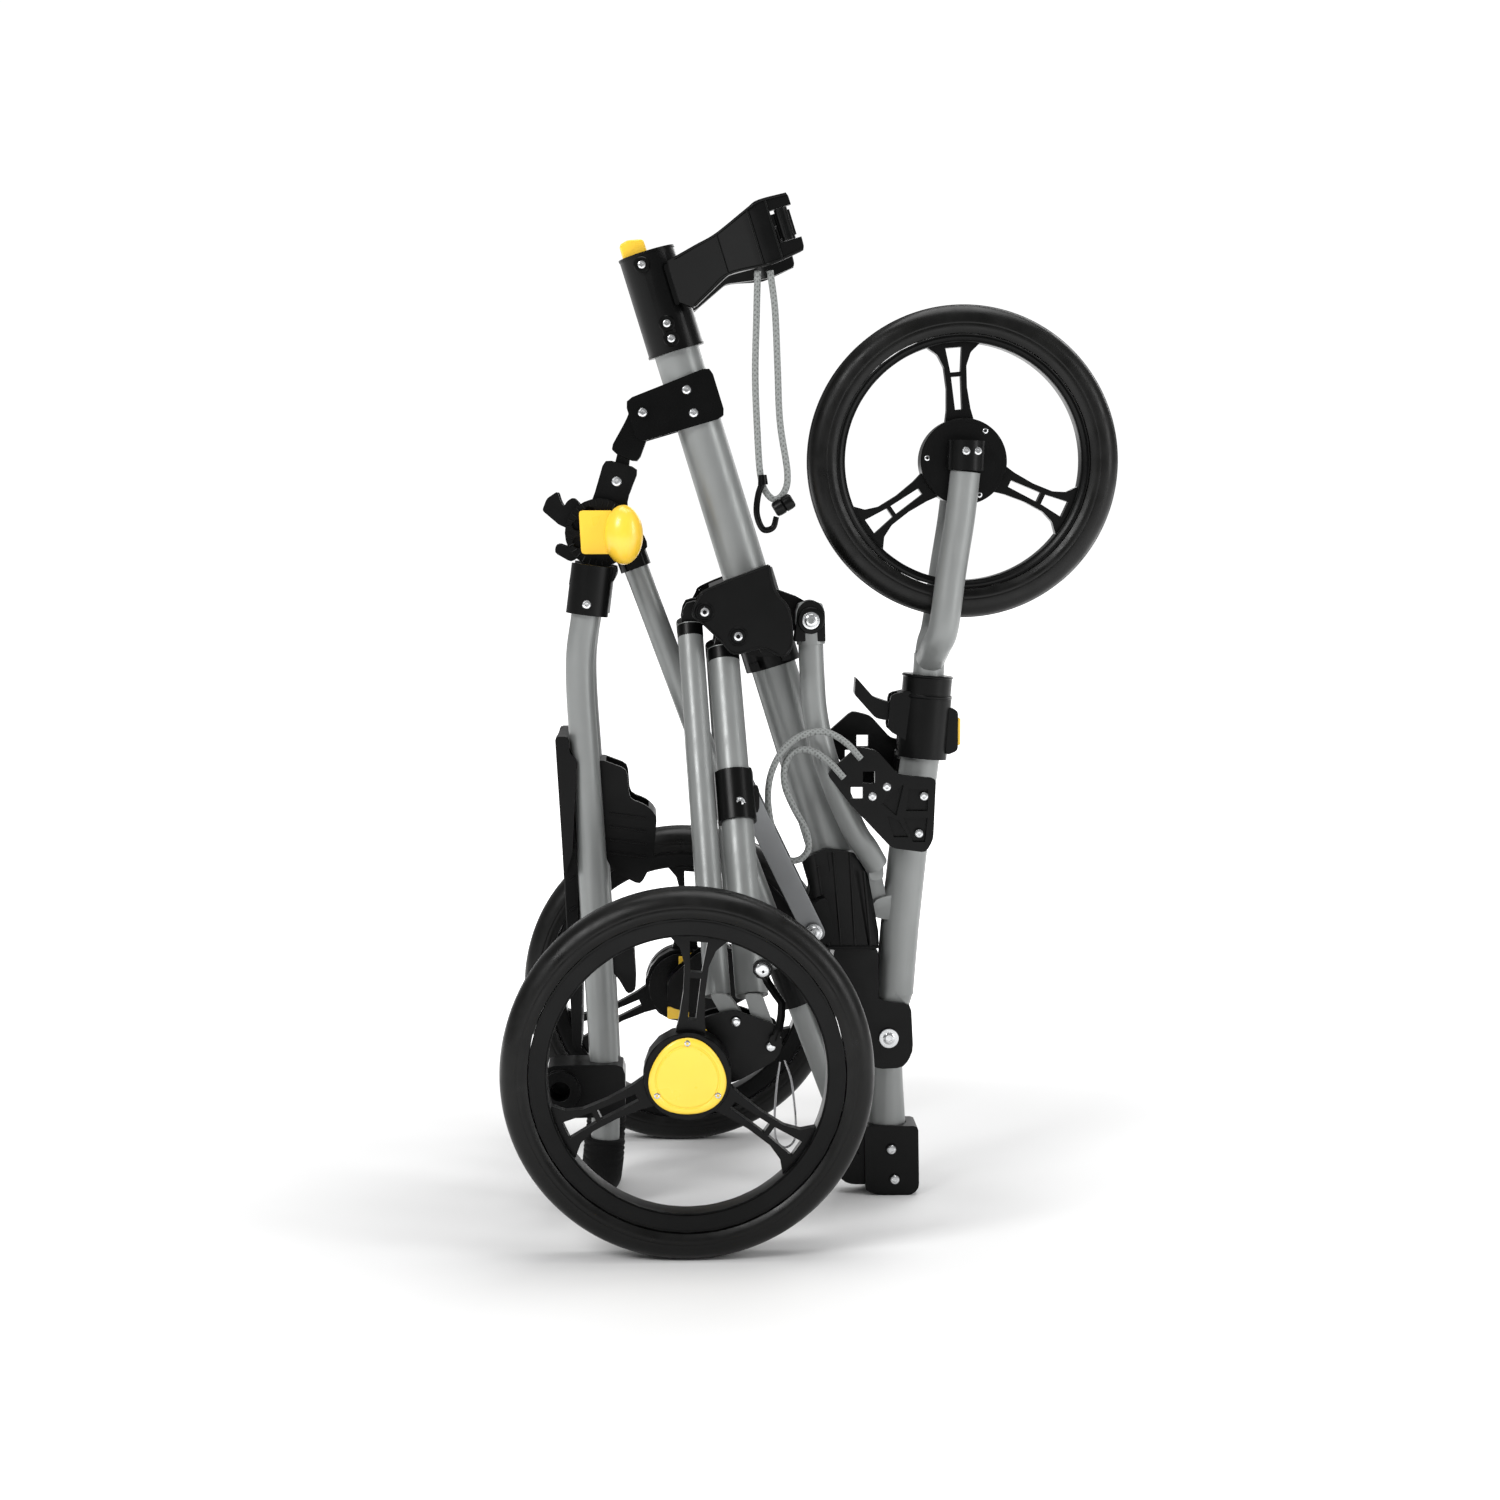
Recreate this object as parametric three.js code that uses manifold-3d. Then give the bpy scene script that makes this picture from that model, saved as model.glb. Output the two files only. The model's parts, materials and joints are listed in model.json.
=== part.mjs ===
// Three-wheel golf push trolley, folded, standing on its rear wheels and its foot bracket.
// Millimetres, +Z up, X from the handle side to the front wheel, Y across the trolley.
// The origin is on the ground, under the middle of the folded trolley.
import * as THREE from "three";
import { mergeVertices } from "three/addons/utils/BufferGeometryUtils.js";
import Module from "manifold-3d";

const wasm = await Module();
wasm.setup();

// ---- driving dimensions -------------------------------------------------------------------
const gap = 0.35; // between touching pieces
const sides = 14; // facets round a tube
const fine = 36; // facets round a tyre

const foldPivot = [63, 137]; // X, Z of the knee bolt
const mainLean = -17.15; // degrees, main tube from vertical
const mainR = 19;
const mainFrom = 122; // along the main tube, up from the knee bolt
const mainTo = 676;

const linkPivot = [-144, 664];
const linkToStay = [-27, -105]; // from the link pivot to the stay's upper pivot
const handlePivot = [-180.5, 564.5];
const stayR = 10.2;

const legPivot = [-66, 480];
const legStep = [27.5, -20]; // from the thin tube's pivots to the leg's pivots
const axlePivot = [-43.5, 160]; // lower bolt of the leg
const legR = 13;
const thinR = 10.4;
const hubHalf = 38; // legs' distance from the middle at the hub
const axleHalf = 165; // and at the axle bracket
const strutFoot = [-2.5, 232];
const strutHead = [-58, 347];

const rearR = 146;
const rearWheel = [-110, 146];
const rearHalf = 215;
const frontR = 131;
const frontWheel = [125, 624];

const columnR = 16.4;
const columnFoot = [64, 52];
const columnTop = [92, 384];
const propFoot = [55.5, 246];
const propHead = [-5, 492];
const forkHalf = 31;

// ---- materials ----------------------------------------------------------------------------
const paint = (color, roughness, metalness = 0) => () =>
  new THREE.MeshStandardMaterial({ color, roughness, metalness });
const silver = paint(0x969999, 0.38, 0.7);
const black = paint(0x17181a, 0.5);
const satinBlack = paint(0x101113, 0.35, 0.3);
const rubber = paint(0x1b1c1e, 0.75);
const yellow = paint(0xfdd642, 0.35);
const steel = paint(0xc8cacc, 0.25, 0.9);
const elastic = paint(0x9fa3a4, 0.8);

// ---- shape helpers ------------------------------------------------------------------------
const trolley = new THREE.Group();

function solid(geometry) {
  const bare = geometry.clone();
  bare.deleteAttribute("normal");
  bare.deleteAttribute("uv");
  const merged = mergeVertices(bare, 1e-3);
  return new wasm.Manifold(
    new wasm.Mesh({
      numProp: 3,
      vertProperties: new Float32Array(merged.attributes.position.array),
      triVerts: new Uint32Array(merged.index.array),
    }),
  );
}

const joined = (...pieces) => pieces.reduce((all, piece) => all.add(piece));
const cut = (body, ...tools) => tools.reduce((left, tool) => left.subtract(tool), body);

function geometryOf(manifold) {
  const mesh = manifold.simplify(0.04).getMesh();
  const geometry = new THREE.BufferGeometry();
  const positions = new Float32Array(mesh.numVert * 3);
  for (let i = 0; i < mesh.numVert; i++) {
    for (let k = 0; k < 3; k++) {
      positions[3 * i + k] = mesh.vertProperties[mesh.numProp * i + k];
    }
  }
  geometry.setAttribute("position", new THREE.BufferAttribute(positions, 3));
  geometry.setIndex(new THREE.BufferAttribute(new Uint32Array(mesh.triVerts), 1));
  geometry.computeVertexNormals();
  return geometry;
}

function add(name, body, material, parent = trolley) {
  const geometry = body.isBufferGeometry ? body : geometryOf(body);
  const mesh = new THREE.Mesh(geometry, material());
  mesh.name = name;
  parent.add(mesh);
  return mesh;
}

// A closed outline with rounded corners; each corner is [x, y, radius].
function outline(corners, rounding = 0) {
  const shape = new THREE.Shape();
  const n = corners.length;
  for (let i = 0; i < n; i++) {
    const here = new THREE.Vector2(corners[i][0], corners[i][1]);
    const before = new THREE.Vector2(...corners[(i + n - 1) % n].slice(0, 2)).sub(here);
    const after = new THREE.Vector2(...corners[(i + 1) % n].slice(0, 2)).sub(here);
    const wanted = corners[i][2] ?? rounding;
    const reach = Math.min(wanted, before.length() * 0.45, after.length() * 0.45);
    const start = before.setLength(reach).add(here);
    const end = after.setLength(reach).add(here);
    if (i === 0) shape.moveTo(start.x, start.y);
    else shape.lineTo(start.x, start.y);
    if (reach > 0) shape.quadraticCurveTo(here.x, here.y, end.x, end.y);
  }
  shape.closePath();
  return shape;
}

function disc(x, y, r) {
  const shape = new THREE.Shape();
  shape.absarc(x, y, r, 0, 2 * Math.PI);
  return shape;
}

// An outline in X and Z, extruded across the trolley from y0 to y1.
function plate(shape, y0, y1, curveSegments = 2) {
  const options = { depth: y1 - y0, bevelEnabled: false, curveSegments };
  return solid(new THREE.ExtrudeGeometry(shape, options).rotateX(Math.PI / 2).translate(0, y1, 0));
}

// A cylinder along Y at [x, z].
function pin([x, z], r, y0, y1, segments = 10) {
  const cylinder = new THREE.CylinderGeometry(r, r, y1 - y0, segments);
  return solid(cylinder.translate(x, (y0 + y1) / 2, z));
}

// A straight round bar or, with an inner radius, an open tube between two points.
function bar(from, to, r, inner = 0, segments = sides) {
  const a = new THREE.Vector3(...from);
  const b = new THREE.Vector3(...to);
  const length = a.distanceTo(b);
  const shape = disc(0, 0, r);
  if (inner > 0) shape.holes.push(new THREE.Path().absarc(0, 0, inner, 0, 2 * Math.PI, true));
  const options = { depth: length, bevelEnabled: false, curveSegments: segments / 2 };
  const geometry = new THREE.ExtrudeGeometry(shape, options);
  const along = b.clone().sub(a).normalize();
  const turn = new THREE.Quaternion().setFromUnitVectors(new THREE.Vector3(0, 0, 1), along);
  return solid(geometry.applyQuaternion(turn).translate(a.x, a.y, a.z));
}

// A cone-like round bar whose radius changes along its length.
function taper(from, to, r0, r1, segments = sides) {
  const a = new THREE.Vector3(...from);
  const b = new THREE.Vector3(...to);
  const along = b.clone().sub(a);
  const geometry = new THREE.CylinderGeometry(r1, r0, along.length(), segments);
  const turn = new THREE.Quaternion().setFromUnitVectors(new THREE.Vector3(0, 1, 0), along.clone().normalize());
  const middle = a.add(b).multiplyScalar(0.5);
  return solid(geometry.applyQuaternion(turn).translate(middle.x, middle.y, middle.z));
}

// A round tube or cord along a smooth curve through points.
function bentTube(points, r, steps, inner = 0, segments = 12) {
  const curve = new THREE.CatmullRomCurve3(
    points.map((p) => new THREE.Vector3(...p)),
    false,
    "catmullrom",
    0.5,
  );
  const shape = disc(0, 0, r);
  if (inner > 0) shape.holes.push(new THREE.Path().absarc(0, 0, inner, 0, 2 * Math.PI, true));
  const options = { steps, bevelEnabled: false, extrudePath: curve, curveSegments: segments / 2 };
  return solid(new THREE.ExtrudeGeometry(shape, options));
}

function block(x0, x1, y0, y1, z0, z1) {
  const box = new THREE.BoxGeometry(x1 - x0, y1 - y0, z1 - z0);
  return solid(box.translate((x0 + x1) / 2, (y0 + y1) / 2, (z0 + z1) / 2));
}

function lathe(profile, segments, [x, z], y) {
  const points = profile.map(([r, h]) => new THREE.Vector2(r, h));
  return solid(new THREE.LatheGeometry(points, segments).translate(x, y, z));
}

const mirrorY = (body) => body.mirror([0, 1, 0]);

// ---- main tube and what is fixed to it ------------------------------------------------------
// In this group X is square to the main tube, to its front side, and Z runs up along it from the knee bolt.
const main = new THREE.Group();
main.position.set(foldPivot[0], 0, foldPivot[1]);
main.rotation.y = THREE.MathUtils.degToRad(mainLean);
trolley.add(main);

function addOnMain(name, body, material) {
  return add(name, body, material, main);
}

const collarR = 23.6;
const collarFrom = 605.5;
const collarTo = 691;
const mainClearance = bar([0, 0, mainFrom - 40], [0, 0, mainTo + gap], mainR + gap, 0, 20);

function makeMainTube() {
  addOnMain("main_tube", bar([0, 0, mainFrom], [0, 0, mainTo], mainR, mainR - 1.8, 20), silver);
}

// One arm: a curved band in plan, trimmed to its side outline.
function strapArm() {
  const plan = outline(
    [
      [10, -19],
      [14, -25],
      [58, -57],
      [86, -84, 8],
      [122, -86],
      [122, -78],
      [92, -76, 8],
      [62, -48],
      [22, -16],
    ],
    2,
  );
  const band = new THREE.ExtrudeGeometry(plan, { depth: 80, bevelEnabled: false, curveSegments: 4 });
  const side = outline(
    [
      [5, 650],
      [5, 676],
      [59, 685],
      [84, 694],
      [96, 698],
      [121, 697],
      [122, 656],
      [121, 649],
      [97, 646],
      [58, 650],
      [24, 634],
    ],
    3,
  );
  const rollerSlot = block(103, 130, -100, -60, 660, 687);
  return cut(solid(band.translate(0, 0, 630)).intersect(plate(side, -100, -5)), rollerSlot);
}

function makeUpperBracket() {
  const collar = bar([0, 0, collarFrom], [0, 0, collarTo], collarR, 0, 20);
  const arm = strapArm();
  const bridge = plate(outline([[10, 640], [10, 676], [40, 672], [40, 654]], 3), -24, 24);
  const buttonWell = block(-20.5, 1.5, -10.5, 10.5, mainTo + 1.5, collarTo + 1);
  const lugs = [-24.5, 20.5].map((y) => pin([-7, 681], 6, y, y + 4));
  const whole = joined(collar, arm, mirrorY(arm), bridge, ...lugs);
  addOnMain("upper_bag_bracket", cut(whole, mainClearance, buttonWell), black);
}

function makeReleaseButton() {
  const cap = plate(outline([[-20, 682], [-20, 703], [-12, 705], [1, 702], [1, 682]], 2), -10, 10);
  addOnMain("release_button", cap, yellow);
}

// A ribbed roller that the bag strap runs round, near or far.
function makeStrapRoller(name, side) {
  const ribs = [];
  for (let i = 0; i < 6; i++) {
    const angle = (i * Math.PI) / 3;
    const x = 112 + 5.6 * Math.cos(angle);
    const y = side * 82 + 5.6 * Math.sin(angle);
    ribs.push(bar([x, y, 663], [x, y, 684], 1.4, 0, 4));
  }
  const core = bar([112, side * 82, 660.5], [112, side * 82, 686.5], 5.6, 0, 12);
  addOnMain(name, joined(core, ...ribs), black);
}

function makeLinkBracket() {
  const side = outline([[-54, 579], [-54, 542], [23, 541], [23, 585]], 7);
  const uPlate = cut(plate(side, -22.5, 22.5), plate(outline([[-60, 530], [0, 530], [0, 600], [-60, 600]]), -19.4, 19.4));
  const bolt = pin([-42.3, 564.6], 4, -26, 26);
  addOnMain("link_bracket", joined(cut(uPlate, mainClearance), bolt), satinBlack);
}

// A skirt round the main tube's lower end, with an ear on each side for the struts.
function makeConeBracket() {
  const side = outline([[-11, 289], [8, 299], [33, 296], [44, 279], [54, 250], [55, 213], [2, 213], [-16, 228], [-16, 242], [-3, 262]], 4);
  const skirt = plate(side, -27, 27).intersect(bar([10, 0, 320], [34, 0, 190], 31, 0, 24));
  const teeth = [[2, 20, 289.5], [26, 20, 297], [14, 25, 295]].map(([x, y, top]) => bar([x, y, 280], [x - 2, y, top], 3, 0, 6));
  const ear = outline([[8, 262], [-8, 250], [-14, 234], [-8, 222], [6, 218], [16, 226]], 6);
  const wing = joined(plate(ear, -44, -38), plate(ear, -39, -18), pin(strutFoot, 4, -56, -30));
  const propWay = plate(outline([[43, 310], [80, 310], [80, 205], [43, 205]]), -15, 15);
  const whole = joined(skirt, wing, mirrorY(wing), ...teeth, ...teeth.map(mirrorY));
  const opened = cut(whole, tilted(bar([0, 0, 40], [0, 0, 300], mainR + gap, 0, 20)), propWay, propRoom());
  add("cone_bracket", opened, black);
}

// The end fitting: a neck under the main tube and two cheeks that straddle the column.
function makeKneeYoke() {
  const neckSide = outline([[16, 212.5], [54, 212.5], [54, 150], [34, 140], [16, 165]], 3);
  const cheek = outline([[44, 176], [60, 168], [82, 166], [84, 125], [76, 111], [52, 110], [30, 134]], 6);
  const plug = tilted(bar([0, 0, 64], [0, 0, 150], mainR - 1.8 - gap, 0, 20));
  const neck = joined(plate(neckSide, -24, 24), plate(cheek, -24, 24), plug);
  const kneeRoom = pin(foldPivot, 47, -18.6, 18.6, 32);
  const columnRoom = columnTube(columnR + 1.5, 10);
  const body = cut(neck, kneeRoom, columnRoom, plate(outline([[46, 400], [120, 400], [120, 100], [58, 100]]), -18.6, 18.6), propRoom());
  const room = pin(propFoot, 13, -14, 14, 16);
  const bolt = joined(pin(foldPivot, 5, -27.5, 27.5), pin(foldPivot, 8, -25.5, -23));
  add("knee_yoke", joined(cut(body, room), bolt), black);
}

// A body made in the main tube's frame, in the trolley's frame.
function tilted(body) {
  return body.rotate([0, mainLean, 0]).translate([foldPivot[0], 0, foldPivot[1]]);
}

// ---- sliding hub ---------------------------------------------------------------------------
const hubFrom = 330; // along the main tube
const hubTo = 410;
const cheekIn = 69;
const cheekOut = 73;

function makeHub() {
  const sleeve = bar([0, 0, hubFrom], [0, 0, hubTo], mainR + 4.6, 0, 20);
  const cheek = outline(
    [
      [19, 414],
      [18, 392],
      [25, 374, 8],
      [18, 345, 6],
      [8, 338, 6],
      [-6, 351, 6],
      [-30, 353, 6],
      [-36, 366, 6],
      [-46, 384, 6],
      [-53, 395, 8],
      [-44, 406, 6],
      [-34, 410],
    ],
    3,
  );
  const shellSide = outline([[19, 414], [18, 392], [21, 374], [17, 345], [8, 340], [-8, 345], [-12, 406], [-32, 406], [-32, 410]], 2);
  const cheeks = joined(plate(cheek, -cheekOut, -cheekIn), plate(cheek, cheekIn, cheekOut));
  const bridge = plate(shellSide, -cheekIn - 1, cheekIn + 1);
  const innerWall = outline([[10, 404], [10, 338], [-6, 340], [-28, 352], [-38, 366], [-53, 395], [-44, 405], [-30, 404]], 4);
  const walls = joined(plate(innerWall, -24.5, -20.5), plate(innerWall, 20.5, 24.5));
  const pins = [hubPoint(legPivot), hubPoint(thinPivot())].map((at) => pin(at, 4, -cheekOut - 2, -21));
  const lug = plate(outline([[15, 396], [44, 374, 12], [48, 352, 12], [30, 350, 8], [15, 360]], 3), -22, 22);
  const teeth = [-16, 12].map((x) => block(x - 4, x + 4, -24, -18, 332, 338));
  const whole = joined(sleeve, cheeks, bridge, walls, ...pins, ...pins.map(mirrorY), lug, ...teeth);
  const hubMesh = cut(whole, bar([0, 0, 200], [0, 0, 500], mainR + gap, 0, 20));
  addOnMain("hub_housing", hubMesh, black);
}

const thinPivot = () => [legPivot[0] - legStep[0], legPivot[1] - legStep[1]];

// A row-frame X, Z point in the main group's frame.
function hubPoint([x, z]) {
  const lean = THREE.MathUtils.degToRad(mainLean);
  const dx = x - foldPivot[0];
  const dz = z - foldPivot[1];
  return [dx * Math.cos(lean) - dz * Math.sin(lean), dx * Math.sin(lean) + dz * Math.cos(lean)];
}

// ---- rear legs -----------------------------------------------------------------------------
const tubeShift = -12; // the tubes run beside the line of their pivots
const tubeEnd = 197; // and end above the axle bracket

// One tube of a leg with a flat eye at each end; shift moves it from the leg's pivots to the thin tube's.
function legTube(shift, r, side) {
  const top = [legPivot[0] + shift[0], legPivot[1] + shift[1]];
  const low = [axlePivot[0] + shift[0], axlePivot[1] + shift[1]];
  const from = [top[0] + tubeShift, side * (hubHalf + 7), top[1] - 12];
  const to = [low[0] + tubeShift - 2, side * (axleHalf - 6), tubeEnd];
  const tube = bar(from, to, r, 0, 14);
  const eyeTop = outline([[top[0] + 6, top[1] + 8], [top[0] - 16, top[1] + 8], [top[0] - 20, top[1] - 14], [top[0] + 4, top[1] - 12]], 7);
  const eyeLow = outline([[low[0] + 7, low[1] + 3], [low[0] + 4, low[1] - 7], [low[0] - 6, low[1] - 6], [to[0] - 7, tubeEnd + 4], [to[0] + 7, tubeEnd + 4]], 4);
  const half = 9;
  const inner = side * hubHalf;
  const outer = side * axleHalf;
  const ends = joined(plate(eyeTop, inner - half, inner + half), plate(eyeLow, outer - half, outer + half));
  const holes = [pin(top, 4.4, inner - 20, inner + 20), pin(low, 4.4, outer - 20, outer + 20)];
  return cut(joined(tube, ends), ...holes);
}

function makeLeg(name, side) {
  add(`leg_tube_${name}`, legTube([0, 0], legR, side), silver);
  add(`leg_thin_tube_${name}`, legTube([-legStep[0], -legStep[1]], thinR, side), silver);
  const along = (z) => {
    const t = (legPivot[1] - 12 - z) / (legPivot[1] - 12 - tubeEnd);
    const x = legPivot[0] + tubeShift + t * (axlePivot[0] - 2 - legPivot[0]);
    return [x, side * (hubHalf + 7 + t * (axleHalf - hubHalf - 13)), z];
  };
  const sleeve = bar(along(330), along(369), legR + 3, legR + gap, 16);
  const [, middleY] = along(350);
  const inside = side * (Math.abs(middleY) - 18);
  const ear = outline([[strutHead[0] + 9, strutHead[1] + 12], [strutHead[0] + 9, strutHead[1] - 12], [-80, 337], [-80, 360]], 5);
  const earPlate = plate(ear, Math.min(inside, inside + side * 8), Math.max(inside, inside + side * 8));
  const bore = bar(along(300), along(400), legR + gap, 0, 16);
  add(`leg_sleeve_${name}`, joined(sleeve, cut(earPlate, bore)), black);
}

// The bracket that keeps the axle level: two plates round the leg ends, joined at the axle.
function makeAxleBracket(name, side) {
  const face = outline(
    [
      [-96, 184],
      [-72, 189],
      [-38, 177],
      [-33, 160, 8],
      [-40, 148],
      [-72, 131],
      [-100, 128],
      [-124, 134],
      [-124, 158],
    ],
    6,
  );
  const outer = plate(face, 176, 181);
  const inner = plate(face, 149, 154);
  const boss = plate(outline([[-124, 134], [-124, 158], [-104, 168], [-96, 160], [-94, 130]], 5), 150, 180);
  const bolts = [axlePivot, [axlePivot[0] - legStep[0], axlePivot[1] - legStep[1]]].map((at) => pin(at, 4, 147, 184));
  const spindle = pin(rearWheel, 6, 178, 190, 16);
  const brakeLink = bentTube([[-50, 187, 222], [-44, 187, 208], [-35, 187, 196], [-37, 187, 176], [-40, 186, 166]], 3.6, 6, 0, 6);
  const linkBolt = joined(pin([-50, 223], 8, 184, 190), pin([-40, 166], 5, 180, 189));
  const whole = joined(outer, inner, boss, ...bolts, spindle, brakeLink, linkBolt);
  add(`axle_bracket_${name}`, side > 0 ? whole : mirrorY(whole), black);
}

function makeStrut(name, side) {
  const foot = new THREE.Vector3(strutFoot[0], side * 48.5, strutFoot[1]);
  const head = new THREE.Vector3(strutHead[0], side * 66, strutHead[1]);
  const length = head.distanceTo(foot);
  const shape = outline([[-9, -9], [length + 8, -9], [length + 8, 9], [-9, 9]], 9);
  shape.holes.push(new THREE.Path().absarc(0, 0, 5.4, 0, 2 * Math.PI, true));
  const options = { depth: 4, bevelEnabled: false, curveSegments: 4 };
  const flat = new THREE.ExtrudeGeometry(shape, options).translate(0, 0, -2);
  const along = head.clone().sub(foot).normalize();
  const across = new THREE.Vector3(0, 1, 0).addScaledVector(along, -along.y).normalize();
  const third = new THREE.Vector3().crossVectors(across, along);
  const basis = new THREE.Matrix4().makeBasis(along, third, across).setPosition(foot);
  const facing = basis.determinant() > 0 ? basis : new THREE.Matrix4().makeBasis(along, third.negate(), across).setPosition(foot);
  add(`strut_${name}`, solid(flat.applyMatrix4(facing)), silver);
}

// ---- wheels --------------------------------------------------------------------------------
// Rounded tyre section, closed on itself, between the rim seat and the tread.
function tyreProfile(seat, tread, width) {
  const half = width / 2;
  const shoulder = tread - 9;
  return [
    [seat, -half + 3],
    [seat + 6, -half],
    [shoulder, -half + 1.5],
    [tread, -half + 11],
    [tread, half - 11],
    [shoulder, half - 1.5],
    [seat + 6, half],
    [seat, half - 3],
    [seat, -half + 3],
  ];
}

// Twin-rail spoke in X and Z, pointing up, with a long window split by a crossbar.
function spoke(hubR, rimR) {
  const reach = rimR - hubR;
  const at = (t) => hubR + t * reach;
  const rails = [
    [at(-0.1), 13],
    [at(0.12), 10],
    [at(0.4), 8.5],
    [at(0.68), 9.5],
    [at(0.85), 14],
    [at(1.02), 27],
  ];
  const side = (sign) => rails.map(([r, w]) => [sign * w, r]);
  const shape = outline([...side(1), ...side(-1).reverse()], 1);
  const window = (from, to, w0, w1) =>
    new THREE.Path([[-w0, from], [w0, from], [w1, to], [-w1, to]].map((p) => new THREE.Vector2(...p)));
  shape.holes.push(window(at(0.12), at(0.55), 3, 4.2), window(at(0.61), at(0.93), 4.4, 7));
  return shape;
}

function makeRim(name, at, y, outerR, rimR, hubR, first, width) {
  const half = width / 2;
  const ring = [
    [rimR, -half],
    [outerR, -half - 2],
    [outerR, half + 2],
    [rimR, half],
    [rimR, -half],
  ];
  const hubHalfWidth = half + 5;
  const hub = [
    [7, -hubHalfWidth],
    [hubR, -hubHalfWidth],
    [hubR, hubHalfWidth],
    [7, hubHalfWidth],
    [7, -hubHalfWidth],
  ];
  let rim = joined(lathe(ring, fine, at, y), lathe(hub, 18, at, y));
  for (let i = 0; i < 3; i++) {
    const arm = new THREE.ExtrudeGeometry(spoke(hubR, rimR), { depth: 12, bevelEnabled: false, curveSegments: 2 });
    arm.rotateX(Math.PI / 2).translate(0, 6, 0).rotateY(THREE.MathUtils.degToRad(first + 120 * i));
    rim = rim.add(solid(arm.translate(at[0], y, at[1])));
  }
  add(name, rim, black);
}

function makeRearWheel(name, side) {
  const y = side * rearHalf;
  add(`rear_tyre_${name}`, lathe(tyreProfile(124, rearR, 42), fine, rearWheel, y), rubber);
  makeRim(`rear_rim_${name}`, rearWheel, y, 124 - gap, 109.5, 34, 5, 26);
  const capOutline = new THREE.Shape();
  for (let i = 0; i < 24; i++) {
    const angle = (i * Math.PI) / 12;
    const r = 29.8 + 1.3 * Math.cos(3 * (angle - Math.PI / 2));
    const x = rearWheel[0] + r * Math.cos(angle);
    const z = rearWheel[1] + r * Math.sin(angle);
    if (i === 0) capOutline.moveTo(x, z);
    else capOutline.lineTo(x, z);
  }
  const faceY = rearHalf + 18.4;
  const cap = plate(capOutline, faceY, faceY + 5);
  add(`hub_cap_${name}`, side > 0 ? cap : mirrorY(cap), yellow);
  const drum = lathe([[6.6, 0], [31, 0], [31, 5], [14, 5], [14, 10.6], [6.6, 10.6], [6.6, 0]], 20, rearWheel, 186);
  const tabs = [15, 190].map((degrees) => {
    const angle = THREE.MathUtils.degToRad(degrees);
    const x = rearWheel[0] + 24 * Math.sin(angle);
    const z = rearWheel[1] + 24 * Math.cos(angle);
    return block(x - 9, x + 9, 184, 189, z - 5, z + 5);
  });
  const release = joined(drum, ...tabs);
  const clear = plate(outline([[-130, 120], [-130, 200], [-90, 200], [-90, 120]]), 140, 181.5);
  const releaseBody = cut(release, clear);
  add(`wheel_release_${name}`, side > 0 ? releaseBody : mirrorY(releaseBody), satinBlack);
}

// ---- link, stay and handle -----------------------------------------------------------------
const stayPivot = [linkPivot[0] + linkToStay[0], linkPivot[1] + linkToStay[1]];
const stayFoot = [foldPivot[0] + linkToStay[0], foldPivot[1] + linkToStay[1]];

function makeLink() {
  const upper = outline([[-133, 663], [-140, 677], [-152, 675], [-157, 660], [-172, 633], [-148, 622]], 6);
  const barBody = cut(plate(upper, -12.5, 12.5), pin(linkPivot, 4.4, -30, 30));
  const tongue = plate(outline([[-153.5, 640], [-164.5, 634], [-172, 604], [-158, 598]], 2), -10, 10);
  add("link_bar", joined(barBody, tongue), satinBlack);
  const sleeveSide = outline(
    [[-147, 618], [-176, 626], [-186, 592], [-200, 572], [-192, 546], [-168, 540], [-152, 560], [-158, 590]],
    6,
  );
  const sleeve = plate(sleeveSide, -15.5, 15.5);
  const tongueWay = plate(outline([[-146, 660], [-168, 660], [-174, 601], [-154, 596]]), -10 - gap, 10 + gap);
  const stayWay = plate(disc(stayPivot[0], stayPivot[1], 39.6), -11.6, 11.6, 16);
  const stayPin = pin(stayPivot, 4, -15, 15);
  const hingePins = joined(pin(handlePivot, 6, -30.4, -14), pin(handlePivot, 6, 14, 30.4));
  add("link_clevis", joined(cut(sleeve, tongueWay, stayWay), stayPin, hingePins), black);
}

function makeStay() {
  const top = [-155.5, 0, 549];
  const foot = [stayFoot[0] - 11, 0, stayFoot[1] + 31];
  const onStay = (t) => [foot[0] + t * (top[0] - foot[0]), 0, foot[2] + t * (top[2] - foot[2])];
  add("stay_tube", bar(foot, top, stayR, stayR - 1.6, 14), silver);
  const eye = plate(disc(stayPivot[0], stayPivot[1], 12), -7, 7, 8);
  const neck = plate(outline([[-168, 568], [-145, 566], [-139, 552], [-158, 540], [-172, 550]], 5), -10.6, 10.6);
  const socket = bar(onStay(1.01), onStay(0.97), stayR + 3, 0, 16);
  const tubeWay = bar(onStay(0.5), onStay(1.001), stayR + gap, 0, 14);
  const fitting = cut(joined(eye, neck, socket), tubeWay, pin(stayPivot, 4.4, -20, 20));
  add("stay_top_fitting", fitting.intersect(block(-220, -100, -11.2, 11.2, 500, 600)), satinBlack);
  const middle = 0.24;
  add("stay_collar", bar(onStay(middle - 0.035), onStay(middle + 0.035), stayR + 4, stayR + gap, 14), black);
  const [footX, , footZ] = foot;
  const endEye = plate(outline([[44, 40], [footX + 9, footZ - 1], [footX - 9, footZ - 6], [27, 24], [40, 23]], 5), -8, 8);
  const plug = bar(onStay(-0.02), onStay(0.05), stayR - 1.6 - gap, 0, 12);
  const clearance = bar(onStay(-0.0008), onStay(0.06), stayR + 3, stayR - 1.6 - gap / 2, 14);
  add("stay_end_fitting", cut(joined(endEye, plug), clearance, pin(stayFoot, 4.4, -20, 20)), satinBlack);
}

const handleHalf = 48;
const handleR = 11.6;
let handleWay; // the room that the handle tube takes in its neighbours

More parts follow.
